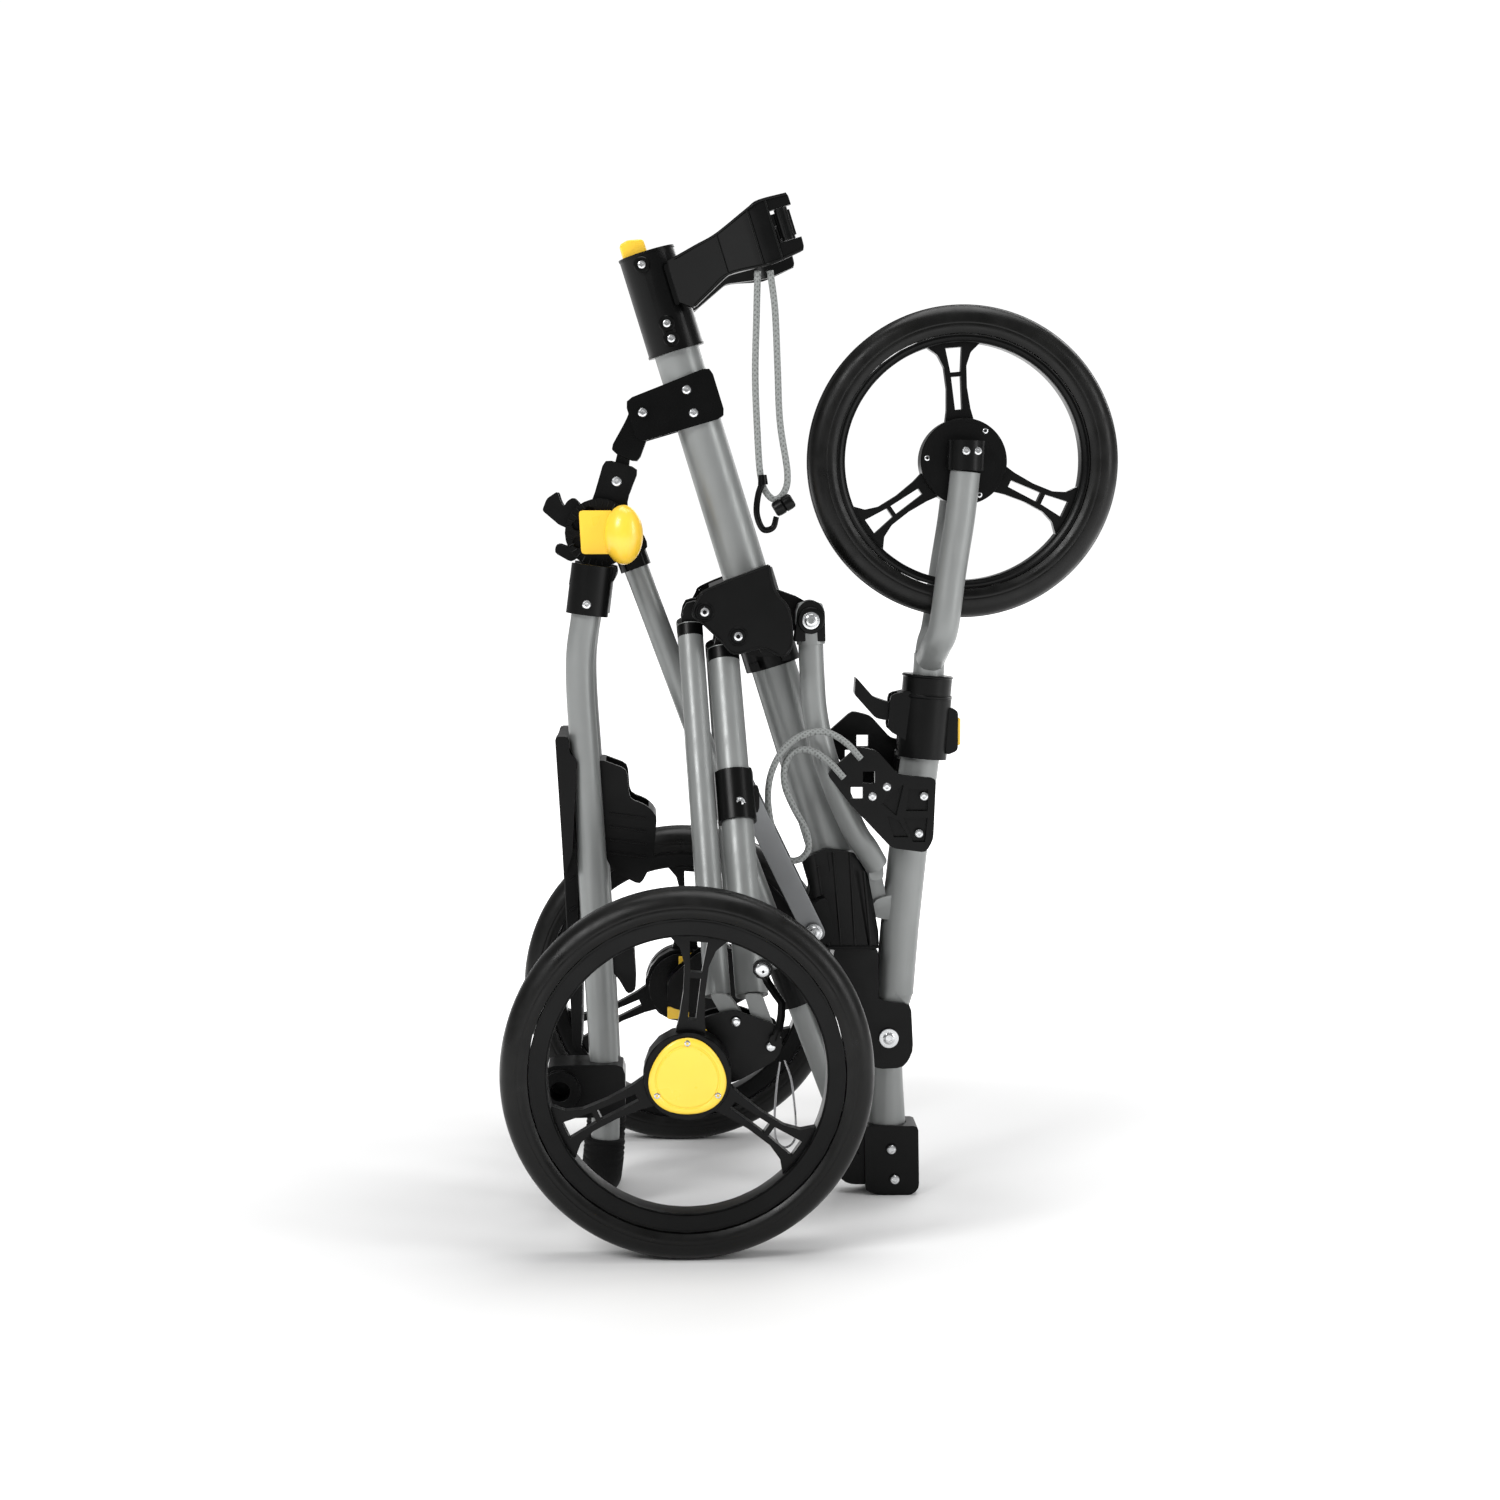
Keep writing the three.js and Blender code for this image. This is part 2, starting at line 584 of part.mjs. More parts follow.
function makeHandle() {
  const route = [
    [-190, 512],
    [-192, 494],
    [-196, 465],
    [-196, 430],
    [-192, 370],
    [-186, 280],
    [-181, 190],
    [-177, 100],
    [-177, 62],
    [-178, 48],
  ];
  const onSide = (side) => route.map(([x, z]) => [x, side * handleHalf, z]);
  add("handle_tube_near", bentTube(onSide(-1), handleR, 18, 0, 12), silver);
  add("handle_tube_far", bentTube(onSide(1), handleR, 18, 0, 12), silver);
  handleWay = joined(bentTube(onSide(-1), handleR + 0.5, 18, 0, 12), bentTube(onSide(1), handleR + 0.5, 18, 0, 12));
  const gripHalf = [
    [-177.6, -handleHalf, 58],
    [-178.6, -handleHalf, 44],
    [-180.5, -handleHalf + 9, 27],
    [-181, -handleHalf + 24, 22],
  ];
  const gripPath = [...gripHalf, [-181, 0, 21], ...gripHalf.reverse().map(([x, y, z]) => [x, -y, z])];
  const tubeEnds = [-1, 1].map((side) => bar([-177, side * handleHalf, 80], [-178.2, side * handleHalf, 47.4], handleR + gap, 0, 12));
  add("handle_grip", cut(bentTube(gripPath, 17.2, 18, 0, 12), ...tubeEnds), rubber);
}

// The toothed disc and tube socket on one side of the handle joint.
function handleJoint(side) {
  const discBody = plate(disc(handlePivot[0], handlePivot[1], 28.5), 16, 30, 14);
  const hook = outline(
    [
      [-196, 588],
      [-202, 594],
      [-207, 591],
      [-210, 586],
      [-213, 592],
      [-215, 599],
      [-224, 593],
      [-228, 583],
      [-214, 571],
      [-202, 566],
    ],
    2,
  );
  const hookPlate = plate(hook, 17, 23);
  const tail = plate(outline([[-205, 552], [-216, 556], [-218, 548], [-204, 540], [-196, 545]], 3), 17, 25);
  const socket = bar([-185.4, handleHalf, 538], [-190.5, handleHalf, 497], 17.5, 0, 18);
  const neck = plate(outline([[-203, 535], [-165, 537], [-167, 524], [-206, 518]], 5), 24, 50);
  const windows = [70, 115, 160].map((degrees) => {
    const angle = THREE.MathUtils.degToRad(degrees + 45);
    return pin([handlePivot[0] + 19 * Math.cos(angle), handlePivot[1] + 19 * Math.sin(angle)], 5, 20, 34, 8);
  });
  const body = cut(joined(discBody, hookPlate, tail, socket, neck), handleWay, pin(handlePivot, 6.4, 10, 36), ...windows);
  return side > 0 ? body : mirrorY(body);
}

function makeHandleParts() {
  add("handle_joint_far", handleJoint(1), black);
  add("handle_joint_near", handleJoint(-1), black);
  const arm = plate(outline([[-197, 583], [-168, 583], [-166, 547], [-195, 547]], 3), -42, -31);
  const dome = new THREE.SphereGeometry(24, 14, 9).scale(0.66, 0.62, 1.02).translate(-160, -43, 563);
  const domeCut = block(-200, -120, -30.6, 0, 500, 620);
  add("clamp_lever", cut(joined(arm, solid(dome)), domeCut), yellow);
}

function makeConsole() {
  const cover = outline(
    [
      [-217, 397],
      [-206, 397],
      [-205, 383],
      [-189, 376],
      [-188, 296],
      [-199, 284],
      [-200, 210],
      [-196, 199],
      [-197, 130],
      [-204, 128],
      [-207, 210],
      [-210, 278],
      [-214, 340],
    ],
    4,
  );
  const holder = outline(
    [
      [-182, 376],
      [-158, 367],
      [-156, 342],
      [-142, 337],
      [-133, 328],
      [-136, 290],
      [-147, 269],
      [-170, 281],
      [-180, 300],
    ],
    5,
  );
  const tray = plate(cover, -38, 38);
  const cup = cut(plate(holder, -30, 30), block(-176, -140, -24, 24, 300, 400));
  const wings = joined(
    plate(outline([[-217, 397], [-206, 397], [-205, 383], [-199, 378], [-203, 300], [-210, 278], [-214, 340]], 3), -62, -37),
    plate(outline([[-217, 397], [-206, 397], [-205, 383], [-199, 378], [-203, 300], [-210, 278], [-214, 340]], 3), 37, 62),
  );
  const link = block(-196, -176, -30, 30, 300, 366);
  const lidWay = block(-219, -195, -36.5, 36.5, 214, 376);
  add("console", cut(joined(tray, wings, cup, link), lidWay, handleWay), black);
  const lid = plate(outline([[-216, 374], [-206, 374], [-202, 218], [-208, 218]], 3), -36, 36);
  add("console_lid", cut(lid, plate(cover, 36.4, 60)), black);
}

// A clamp block on the near handle tube with a round threaded boss.
function makeUmbrellaMount() {
  const body = plate(outline([[-226, 124], [-160, 124], [-160, 80], [-226, 79]], 8), -70, -26);
  const boss = pin([-214, 103], 17, -76, -26, 20);
  const hole = pin([-214, 103], 8.5, -80, -50, 14);
  add("umbrella_mount", cut(joined(body, boss), hole, handleWay), black);
}

// A small lever that hangs from a rod between the handle tubes.
function makeBrakeLever() {
  const side = outline([[-184, 220], [-166, 227], [-153, 223], [-151, 180], [-158, 176], [-166, 190], [-184, 210]], 4);
  const lever = cut(plate(side, -30, 30), block(-190, -156, -22, 22, 170, 214));
  add("brake_lever", joined(lever, pin([-180, 215], 3.2, -35.9, 35.9)), black);
}

// ---- front column --------------------------------------------------------------------------
const columnPoint = (z) => {
  const t = (z - columnFoot[1]) / (columnTop[1] - columnFoot[1]);
  return [columnFoot[0] + t * (columnTop[0] - columnFoot[0]) - 5 * Math.sin(Math.PI * t), 0, z];
};

// The column's round stretch above the knee, or the room that it takes.
function columnTube(r, steps) {
  return bentTube([172, 230, 290, 340, 384].map(columnPoint), r, steps, 0, 14);
}

function makeColumn() {
  const upper = columnTube(columnR, 8);
  const waist = taper([columnPoint(176)[0], 0, 176], [foldPivot[0], 0, foldPivot[1]], columnR, 12, 16);
  const flare = taper([foldPivot[0], 0, foldPivot[1] + 2], [columnFoot[0], 0, 40], 11.4, 16.8, 16);
  const knee = plate(outline([[50, 166], [80, 168], [76, 112], [51, 112]], 8), -13, 13);
  const shelf = plate(outline([[68, 258], [52, 254, 6], [48, 244, 6], [52, 238, 6], [66, 236]], 3), -12.5, 12.5);
  const whole = joined(upper, waist, flare, knee, shelf);
  const propWay = joined(block(30, 64, -7.4, 7.4, 232, 262), propRoom());
  const propPin = pin(propFoot, 4, -12, 12);
  add("column_tube", joined(cut(whole, propWay, pin(foldPivot, 5.5, -30, 30), pin(footBolts[0], 5, -30, 30)), propPin), silver);
}

const footBolts = [
  [66, 40],
  [69, 14],
];

function makeFoot() {
  const side = outline([[43, 60], [44, 4], [56, 0], [84, 0], [90, 6], [89, 60]], 4);
  const sole = plate(side, -20, 20);
  const ears = outline([[50, 56], [30, 53], [23, 46], [23, 12], [32, 8], [50, 8]], 6);
  const earPair = joined(plate(ears, -13, -8.6), plate(ears, 8.6, 13));
  const pocket = joined(
    taper([foldPivot[0], 0, foldPivot[1] + 2], [columnFoot[0], 0, 40 - gap], 11.4 + gap, 16.8 + 2 * gap, 16),
    block(20, 49, -8.6, 8.6, 18, 90),
  );
  const bolts = footBolts.map((at) => pin(at, 4.5, -22.5, 22.5));
  const stayBolt = pin(stayFoot, 4, -16, 16);
  const whole = joined(sole, earPair);
  const open = bar([columnFoot[0], 0, 40 - gap], [columnFoot[0], 0, 24], 13, 0, 16);
  add("foot_bracket", joined(cut(whole, pocket, open), ...bolts, stayBolt), black);
}

const wingIn = 49; // the bag plates' inner faces from the middle
const wingOut = 57;

// A ribbed plate beside the column that carries the foot of the bag, on the near side.
function lowerBracket() {
  const side = outline([[8, 365], [28, 339], [62, 303], [91, 299], [97, 310], [99, 361], [68, 364], [50, 384], [34, 388]], 4);
  const openings = [[43, 362], [33, 349]].map(([x, z]) => block(x - 5, x + 5, -60, -40, z - 5, z + 5));
  const recesses = [
    outline([[62, 350], [72, 356], [66, 330], [54, 340]]),
    outline([[76, 352], [92, 352], [92, 334], [74, 334]]),
    outline([[58, 330], [68, 326], [76, 312], [64, 312]]),
    outline([[72, 328], [92, 328], [90, 308], [80, 308]]),
  ].map((shape) => plate(shape, -wingOut - 1, -wingOut + 4));
  const foot = plate(outline([[70, 350], [97, 350], [95, 314], [70, 314]], 4), -wingIn - 1, -12);
  return cut(joined(plate(side, -wingOut, -wingIn), foot), ...openings, ...recesses);
}

const farWingShift = [2, 0, 22]; // the far plate sits a little higher up the column

function makeLowerBrackets() {
  const room = columnTube(columnR + gap, 8);
  const near = lowerBracket();
  add("lower_bag_bracket_near", cut(near, room), black);
  add("lower_bag_bracket_far", cut(mirrorY(near).translate(farWingShift), room), black);
}

function makeForkClamp() {
  const base = columnPoint(374);
  const top = [97, 0, 444];
  const body = taper(base, [96, 0, 428], 22.5, 21.5, 20);
  const ring = bar([95.5, 0, 426], top, 21, 0, 20);
  const lug = plate(outline([[112, 418], [122, 414], [122, 380], [112, 376]], 3), -9, 9);
  const well = block(113.4, 126, -6.5, 6.5, 384, 408);
  const leverLugs = plate(outline([[82, 432], [64, 428], [62, 398], [80, 388]], 4), -16, 16);
  const leverWay = block(40, 71, -10.5, 10.5, 380, 440);
  const columnWay = joined(columnTube(columnR + gap, 8), bar(columnPoint(380), columnPoint(384.5), columnR + gap));
  const stemWay = bar([94.8, 0, 399.5], [98, 0, 452], 13.7, 0, 14);
  const leverPin = pin([66, 414], 3, -15, 15);
  const whole = cut(joined(body, ring, lug, leverLugs), well, leverWay, columnWay, stemWay);
  add("fork_clamp", joined(whole, leverPin), black);
  const wing = outline([[70, 419], [50, 426], [35, 443], [34, 428], [52, 408], [61, 406], [69, 410]], 2);
  const lever = cut(plate(wing, -10, 10), pin([66, 414], 3.4, -20, 20), bar([94.6, 0, 380], [97, 0, 450], 22.6));
  add("cam_lever", lever, black);
  add("latch_button", block(117, 124.5, -6, 6, 384.5, 407.5), yellow);
}

const forkRoute = [
  [124.5, 615],
  [120, 575],
  [113, 530],
  [107, 485],
  [102, 470],
];

function makeFork() {
  const blade = (side) => {
    const offsets = [forkHalf, forkHalf, forkHalf, forkHalf, 22];
    const points = forkRoute.map(([x, z], i) => [x, side * offsets[i], z]);
    return bentTube([...points, [98.5, side * 5, 458]], 12.3, 10, 0, 12);
  };
  const stem = bar([95, 0, 401], [98.4, 0, 462], 13, 0, 14);
  add("fork", joined(blade(1), blade(-1), stem), silver);
}

function makeFrontWheel() {
  add("front_tyre", lathe(tyreProfile(107, frontR, 36), fine, frontWheel, 0), rubber);
  makeRim("front_rim", frontWheel, 0, 107 - gap, 100, 36, -5, 20);
  const cap = (side) => {
    const y = (value) => side * value;
    const shell = bar([125.5, y(forkHalf), 641], [124.6, y(forkHalf), 616.2], 15.4, 0, 16);
    return joined(shell, pin([126, 627], 12, Math.min(y(17), y(36)), Math.max(y(17), y(36)), 16));
  };
  const spindle = pin([frontWheel[0], frontWheel[1]], 6, -32, 32, 16);
  add("front_axle", cut(joined(spindle, cap(1), cap(-1)), block(80, 170, -16.2, -6.5 + 100, 560, 566)), black);
}

// ---- prop tube from the column to the sliding hub -------------------------------------------
const propSide = -36;
const propRoute = [
  [-4.5, propSide, 474],
  [-3.5, propSide, 450],
  [-1, propSide, 416],
  [6, propSide, 383],
  [18, propSide + 1, 348],
  [34, -28, 313],
  [44, -21, 298],
  [52, -13, 284],
];

// The room that the prop tube takes beside the main tube.
function propRoom() {
  return bentTube(propRoute, 11, 18, 0, 10);
}

function makeProp() {
  const tube = bentTube(propRoute, 10.2, 18, 0, 10);
  const eye = plate(outline([[44, 280], [56, 284], [63, 250], [56, 237], [48, 243]], 5), -6.8, 6.8);
  const neck = plate(outline([[45, 289], [58, 290], [59, 272], [47, 270]], 4), -18, -2);
  const head = plate(outline([[7, 508], [-17, 508], [-18, 480], [6, 476]], 9), -46, -24);
  const socket = bar([-5, propSide, 492], [-4.2, propSide, 472], 12, 0, 14);
  const body = cut(joined(tube, eye, neck, head, socket), pin(propFoot, 4.4, -20, 20));
  const bolt = joined(pin(propHead, 10, -47.5, -45, 16), pin(propHead, 5, -50, -45));
  add("prop_tube", joined(body, bolt), silver);
}

// ---- elastic cords and the brake cable -------------------------------------------------------
const upperCordR = 2.8;
const upperCord = [
  [-50, -70, 777],
  [-51, -71, 740],
  [-52, -72, 690],
  [-50, -73, 640],
  [-48, -74, 613],
  [-44, -75, 599],
  [-36, -75.5, 592],
  [-28, -75.5, 599],
  [-26, -75.5, 615],
  [-32, -75.5, 655],
  [-34, -75, 700],
  [-36, -74, 745],
  [-40, -73, 777],
];
const lowerCordR = 2.8;
const lowerCord = [
  [36, -61, 378],
  [24, -62, 391],
  [8, -63, 400],
  [-10, -64, 399],
  [-27, -65, 388],
  [-38, -64, 368],
  [-41, -60, 345],
  [-37, -52, 317],
  [-33, -50, 303],
  [-25, -50, 293],
  [-14, -50, 293],
  [-7, -50, 302],
  [-9, -51, 317],
  [-20, -55, 338],
  [-27, -59, 356],
  [-27, -60, 372],
  [-20, -60, 384],
  [-6, -60, 385],
  [10, -60, 375],
  [22, -60.5, 362],
];
const brakeCable = [
  [-36, -174, 146],
  [-38.6, -175, 125],
  [-40, -176, 104],
  [-39.6, -176, 88],
  [-37, -176, 80.5],
  [-31.5, -176, 77.5],
  [-26, -176, 80.5],
  [-23.4, -176, 88],
  [-23.6, -175.5, 106],
  [-27, -174, 132],
  [-32, -173, 147],
];

function makeCords() {
  add("upper_bungee", bentTube(upperCord, upperCordR, 36, 0, 8), elastic);
  const hookRoute = [[-46, -80, 607], [-50, -80, 595], [-51, -80, 580], [-46, -80, 568], [-38, -80, 569], [-35, -80, 578]];
  add("bungee_hook", bentTube(hookRoute, 2.6, 10, 0, 6), satinBlack);
  add("bungee_toggle", bar([-37, -85.5, 583], [-22, -85.5, 592], 6.5, 0, 12), black);
  add("lower_bungee", bentTube(lowerCord, lowerCordR, 40, 0, 8), elastic);
  add("brake_cable", bentTube(brakeCable, 0.9, 28, 0, 6), steel);
}

// ---- assembly ------------------------------------------------------------------------------
makeMainTube();
makeUpperBracket();
makeReleaseButton();
makeStrapRoller("strap_roller_near", -1);
makeStrapRoller("strap_roller_far", 1);
makeLinkBracket();
makeConeBracket();
makeKneeYoke();
makeHub();
for (const [name, side] of [["near", -1], ["far", 1]]) {
  makeLeg(name, side);
  makeAxleBracket(name, side);
  makeStrut(name, side);
  makeRearWheel(name, side);
}
makeLink();
makeStay();
makeHandle();
makeHandleParts();
makeConsole();
makeUmbrellaMount();
makeBrakeLever();
makeColumn();
makeFoot();
makeLowerBrackets();
makeForkClamp();
makeFork();
makeFrontWheel();
makeProp();
makeCords();

export default trolley;
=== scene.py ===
"""Folded golf push trolley: surfaces, small parts, cords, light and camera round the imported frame."""

import math

import bmesh
import bpy
from mathutils import Matrix, Vector
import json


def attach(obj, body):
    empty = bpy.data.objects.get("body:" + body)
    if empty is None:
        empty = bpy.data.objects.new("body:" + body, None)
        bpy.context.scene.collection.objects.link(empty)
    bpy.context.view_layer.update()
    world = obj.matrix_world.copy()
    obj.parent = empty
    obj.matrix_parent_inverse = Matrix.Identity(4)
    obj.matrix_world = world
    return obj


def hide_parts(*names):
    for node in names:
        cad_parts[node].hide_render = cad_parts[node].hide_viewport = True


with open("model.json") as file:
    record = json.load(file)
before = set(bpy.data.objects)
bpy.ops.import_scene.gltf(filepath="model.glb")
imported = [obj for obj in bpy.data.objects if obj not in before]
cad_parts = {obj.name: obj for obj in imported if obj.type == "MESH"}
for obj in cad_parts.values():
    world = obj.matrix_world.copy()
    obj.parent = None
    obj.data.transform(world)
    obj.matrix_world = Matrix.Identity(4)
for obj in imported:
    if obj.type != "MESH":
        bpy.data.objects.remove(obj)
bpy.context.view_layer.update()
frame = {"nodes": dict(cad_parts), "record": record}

MM = 0.001
BODY_OF = {node: body for body, nodes in frame["record"]["behaviour"]["bodies"].items() for node in nodes}
SLOT_OF = {row["node"]: row["material_slot"] for row in frame["record"]["subparts"]}

SIDES = (("near", -1), ("far", 1))
BOTH = (-1, 1)

# Places on the object, in millimetres, and the angle by which its main tube leans from upright.
KNEE_X, KNEE_Z = 63, 137  # the fold bolt
MAIN_LEAN = math.radians(-17.15)
REAR_X, REAR_Y, REAR_Z = -110, 215, 146  # the middle of a rear wheel
FRONT_X, FRONT_Z = 125, 624  # the middle of the front wheel

# ---- camera -------------------------------------------------------------------------------
CAMERA_AT = (-0.1326, -2.434, 0.587)
CAMERA_TURN = math.radians(1.85)
CAMERA_DIP = math.radians(4.85)

camera_data = bpy.data.cameras.new("camera")
camera_data.lens = 69.12
camera_data.sensor_width = 36
camera = bpy.data.objects.new("camera", camera_data)
bpy.context.scene.collection.objects.link(camera)
forward = Vector((
    math.sin(CAMERA_TURN) * math.cos(CAMERA_DIP),
    math.cos(CAMERA_TURN) * math.cos(CAMERA_DIP),
    -math.sin(CAMERA_DIP),
))
camera.location = CAMERA_AT
camera.rotation_euler = forward.to_track_quat("-Z", "Y").to_euler()
bpy.context.scene.camera = camera
bpy.context.scene.view_settings.view_transform = "Standard"


# ---- materials ----------------------------------------------------------------------------
NOISE_LOW, NOISE_HIGH = 0.3, 0.7  # nearly all of a noise texture's values lie between these


class Nodes:
    """A short way to write a material's nodes."""

    def __init__(self, name):
        self.material = bpy.data.materials.new(name)
        self.material.use_nodes = True
        self.tree = self.material.node_tree
        self.shader = self.tree.nodes["Principled BSDF"]
        self.place = self.make("ShaderNodeTexCoord").outputs["Object"]

    def make(self, kind, **values):
        """Adds a node; a value goes to the input of that name, or else to the setting."""
        node = self.tree.nodes.new(kind)
        for key, value in values.items():
            if key in node.inputs:
                node.inputs[key].default_value = value
            else:
                setattr(node, key, value)
        return node

    def link(self, source, target):
        """Joins an output to an input."""
        self.tree.links.new(source, target)

    def stretched(self, scale):
        """The object's own coordinates, scaled along each axis."""
        mapping = self.make("ShaderNodeMapping", Scale=scale)
        self.link(self.place, mapping.inputs["Vector"])
        return mapping.outputs["Vector"]

    def noise(self, scale, detail=2.0, place=None):
        """A noise value at a scale, over the object's coordinates or those given."""
        node = self.make("ShaderNodeTexNoise", Scale=scale, Detail=detail)
        self.link(place or self.place, node.inputs["Vector"])
        return node.outputs["Fac"]

    def ranged(self, source, low, high):
        """A noise value carried over to the range from low to high."""
        node = self.make("ShaderNodeMapRange")
        node.inputs["From Min"].default_value = NOISE_LOW
        node.inputs["From Max"].default_value = NOISE_HIGH
        node.inputs["To Min"].default_value = low
        node.inputs["To Max"].default_value = high
        self.link(source, node.inputs["Value"])
        return node.outputs["Result"]

    def colours(self, source, dark, light):
        """Base colour between dark and light, by a noise value."""
        ramp = self.make("ShaderNodeValToRGB")
        ramp.color_ramp.elements[0].position = NOISE_LOW
        ramp.color_ramp.elements[1].position = NOISE_HIGH
        ramp.color_ramp.elements[0].color = (*dark, 1)
        ramp.color_ramp.elements[1].color = (*light, 1)
        self.link(source, ramp.inputs["Fac"])
        self.link(ramp.outputs["Color"], self.shader.inputs["Base Color"])

    def bump(self, source, strength, distance):
        """Relief by a noise value, as deep as distance in metres."""
        node = self.make("ShaderNodeBump", Strength=strength, Distance=distance)
        self.link(source, node.inputs["Height"])
        self.link(node.outputs["Normal"], self.shader.inputs["Normal"])


def surface(name, colour, roughness, metallic=0.0, mottle=0.12, grain=900.0, relief=0.15, depth=0.0002,
            spread=0.06, stretch=None, coat=0.0, specular=0.5, sheen=0.0):
    """A material whose colour and roughness vary a little from place to place, with a fine grain."""
    made = Nodes(name)
    shader = made.shader
    shader.inputs["Metallic"].default_value = metallic
    shader.inputs["Coat Weight"].default_value = coat
    shader.inputs["Coat Roughness"].default_value = 0.12
    shader.inputs["Specular IOR Level"].default_value = specular
    shader.inputs["Sheen Weight"].default_value = sheen
    place = made.stretched(stretch) if stretch else None
    dark = [c * (1 - mottle) for c in colour]
    light = [min(1.0, c * (1 + mottle)) for c in colour]
    made.colours(made.noise(22.0, 3.0), dark, light)
    uneven = made.ranged(made.noise(55.0, 2.0, place), roughness - spread, roughness + spread)
    made.link(uneven, shader.inputs["Roughness"])
    made.bump(made.noise(grain, 2.0, place), relief, depth)
    return made.material


def braided(name, colour):
    """A woven sleeve: two sets of slanting bands that cross."""
    made = Nodes(name)
    made.shader.inputs["Sheen Weight"].default_value = 0.3
    made.shader.inputs["Roughness"].default_value = 0.7
    waves = []
    for tilt in (1.0, -1.0):
        mapping = made.make("ShaderNodeMapping", Scale=(tilt, 1.0, 1.0))
        made.link(made.place, mapping.inputs["Vector"])
        wave = made.make("ShaderNodeTexWave", Scale=150.0, bands_direction="DIAGONAL")
        made.link(mapping.outputs["Vector"], wave.inputs["Vector"])
        waves.append(wave.outputs["Fac"])
    crossed = made.make("ShaderNodeMath", operation="MAXIMUM")
    made.link(waves[0], crossed.inputs[0])
    made.link(waves[1], crossed.inputs[1])
    made.colours(crossed.outputs[0], [c * 0.55 for c in colour], [c * 1.1 for c in colour])
    made.bump(crossed.outputs[0], 0.5, 0.0004)
    return made.material


MATERIALS = {
    "aluminium_tube": surface("satin_aluminium", (0.225, 0.233, 0.23), 0.40, metallic=0.35, mottle=0.05,
                              grain=700.0, relief=0.06, stretch=(3.0, 3.0, 0.25), specular=0.4),
    "bare_metal": surface("bare_plate", (0.19, 0.195, 0.2), 0.38, metallic=0.6, mottle=0.08, relief=0.1),
    "black_plastic": surface("moulded_black", (0.0019, 0.002, 0.002), 0.31, grain=1500.0, relief=0.1,
                             mottle=0.2, spread=0.03, specular=0.15),
    "satin_black": surface("satin_black_casting", (0.0016, 0.0017, 0.0017), 0.27, grain=1000.0, relief=0.06,
                           mottle=0.2, spread=0.03, specular=0.12),
    "rubber_grip": surface("foam_rubber", (0.0035, 0.0036, 0.0036), 0.78, grain=1300.0, relief=0.45,
                           depth=0.0003, specular=0.12, sheen=0.02),
    "tyre": surface("foam_tyre", (0.003, 0.003, 0.0028), 0.36, grain=1100.0, relief=0.3, mottle=0.3,
                    spread=0.1, specular=0.22),
    "yellow_plastic": surface("golden_plastic", (0.93, 0.58, 0.04), 0.32, mottle=0.04, relief=0.05,
                              coat=0.25, spread=0.05),
    "elastic_cord": braided("braided_cord", (0.20, 0.21, 0.205)),
    "steel_wire": surface("steel_wire", (0.40, 0.40, 0.41), 0.30, metallic=1.0, grain=2500.0, relief=0.4),
}
SCREW = surface("zinc_screw", (0.62, 0.63, 0.64), 0.24, metallic=0.95, mottle=0.1, grain=1800.0,
                relief=0.12)
CAP_YELLOW = surface("lemon_plastic", (0.96, 0.655, 0.05), 0.30, mottle=0.03, relief=0.05, coat=0.25,
                     spread=0.05)


# ---- mesh helpers, in millimetres ----------------------------------------------------------
def smooth_line(points, per_span=8):
    """Points along the curve that part.mjs uses: a uniform Catmull-Rom line through all of them."""
    p = [Vector(q) for q in points]
    p = [2 * p[0] - p[1], *p, 2 * p[-1] - p[-2]]
    line = []
    for i in range(1, len(p) - 2):
        a, b, c, d = p[i - 1:i + 3]
        for k in range(per_span):
            t = k / per_span
            line.append(0.5 * (2 * b + (c - a) * t + (2 * a - 5 * b + 4 * c - d) * t * t
                               + (3 * b - a - 3 * c + d) * t ** 3))
    line.append(p[-2])
    return line


def ring_faces(bm, rings, closed=False):
    """Quads between rings of equal length, or a fan where a ring is one vertex."""
    pairs = list(zip(rings, rings[1:]))
    if closed:
        pairs.append((rings[-1], rings[0]))
    for one, two in pairs:
        count = max(len(one), len(two))
        for k in range(count):
            after = k + 1
            corners = [one[k % len(one)], one[after % len(one)], two[after % len(two)], two[k % len(two)]]
            unique = list(dict.fromkeys(corners))
            if len(unique) > 2:
                bm.faces.new(unique)


def sweep(bm, points, radius, segments=32):
    """A closed round bar along points; radius is one number or one for each point."""
    p = [Vector(q) for q in points]
    radii = radius if isinstance(radius, list) else [radius] * len(p)
    angles = [2 * math.pi * k / segments for k in range(segments)]
    side = None
    rings = []
    for i, at in enumerate(p):
        along = (p[min(i + 1, len(p) - 1)] - p[max(i - 1, 0)]).normalized()
        if side is None:
            side = along.orthogonal().normalized()
        side = (side - along * side.dot(along)).normalized()
        up = along.cross(side)
        arms = [radii[i] * (math.cos(t) * side + math.sin(t) * up) for t in angles]
        rings.append([bm.verts.new((at + arm) * MM) for arm in arms])
    ring_faces(bm, [[bm.verts.new(p[0] * MM)], *rings, [bm.verts.new(p[-1] * MM)]])


def lathe(bm, profile, centre, axis=(0, 1, 0), segments=48, closed=False, radius_at=None):
    """Turns a profile of (radius, height) round an axis; radius_at may change the radius with the angle."""
    along = Vector(axis).normalized()
    side = Vector((0, 0, 1)) if abs(along.z) < 0.9 else Vector((1, 0, 0))
    side = (side - along * side.dot(along)).normalized()
    up = along.cross(side)
    rings = []
    for index, (radius, height) in enumerate(profile):
        middle = Vector(centre) + along * height
        if radius < 1e-6:
            rings.append([bm.verts.new(middle * MM)])
            continue
        ring = []
        for k in range(segments):
            t = 2 * math.pi * k / segments
            r = radius_at(index, radius, t) if radius_at else radius
            ring.append(bm.verts.new((middle + r * (math.cos(t) * side + math.sin(t) * up)) * MM))
        rings.append(ring)
    ring_faces(bm, rings, closed)


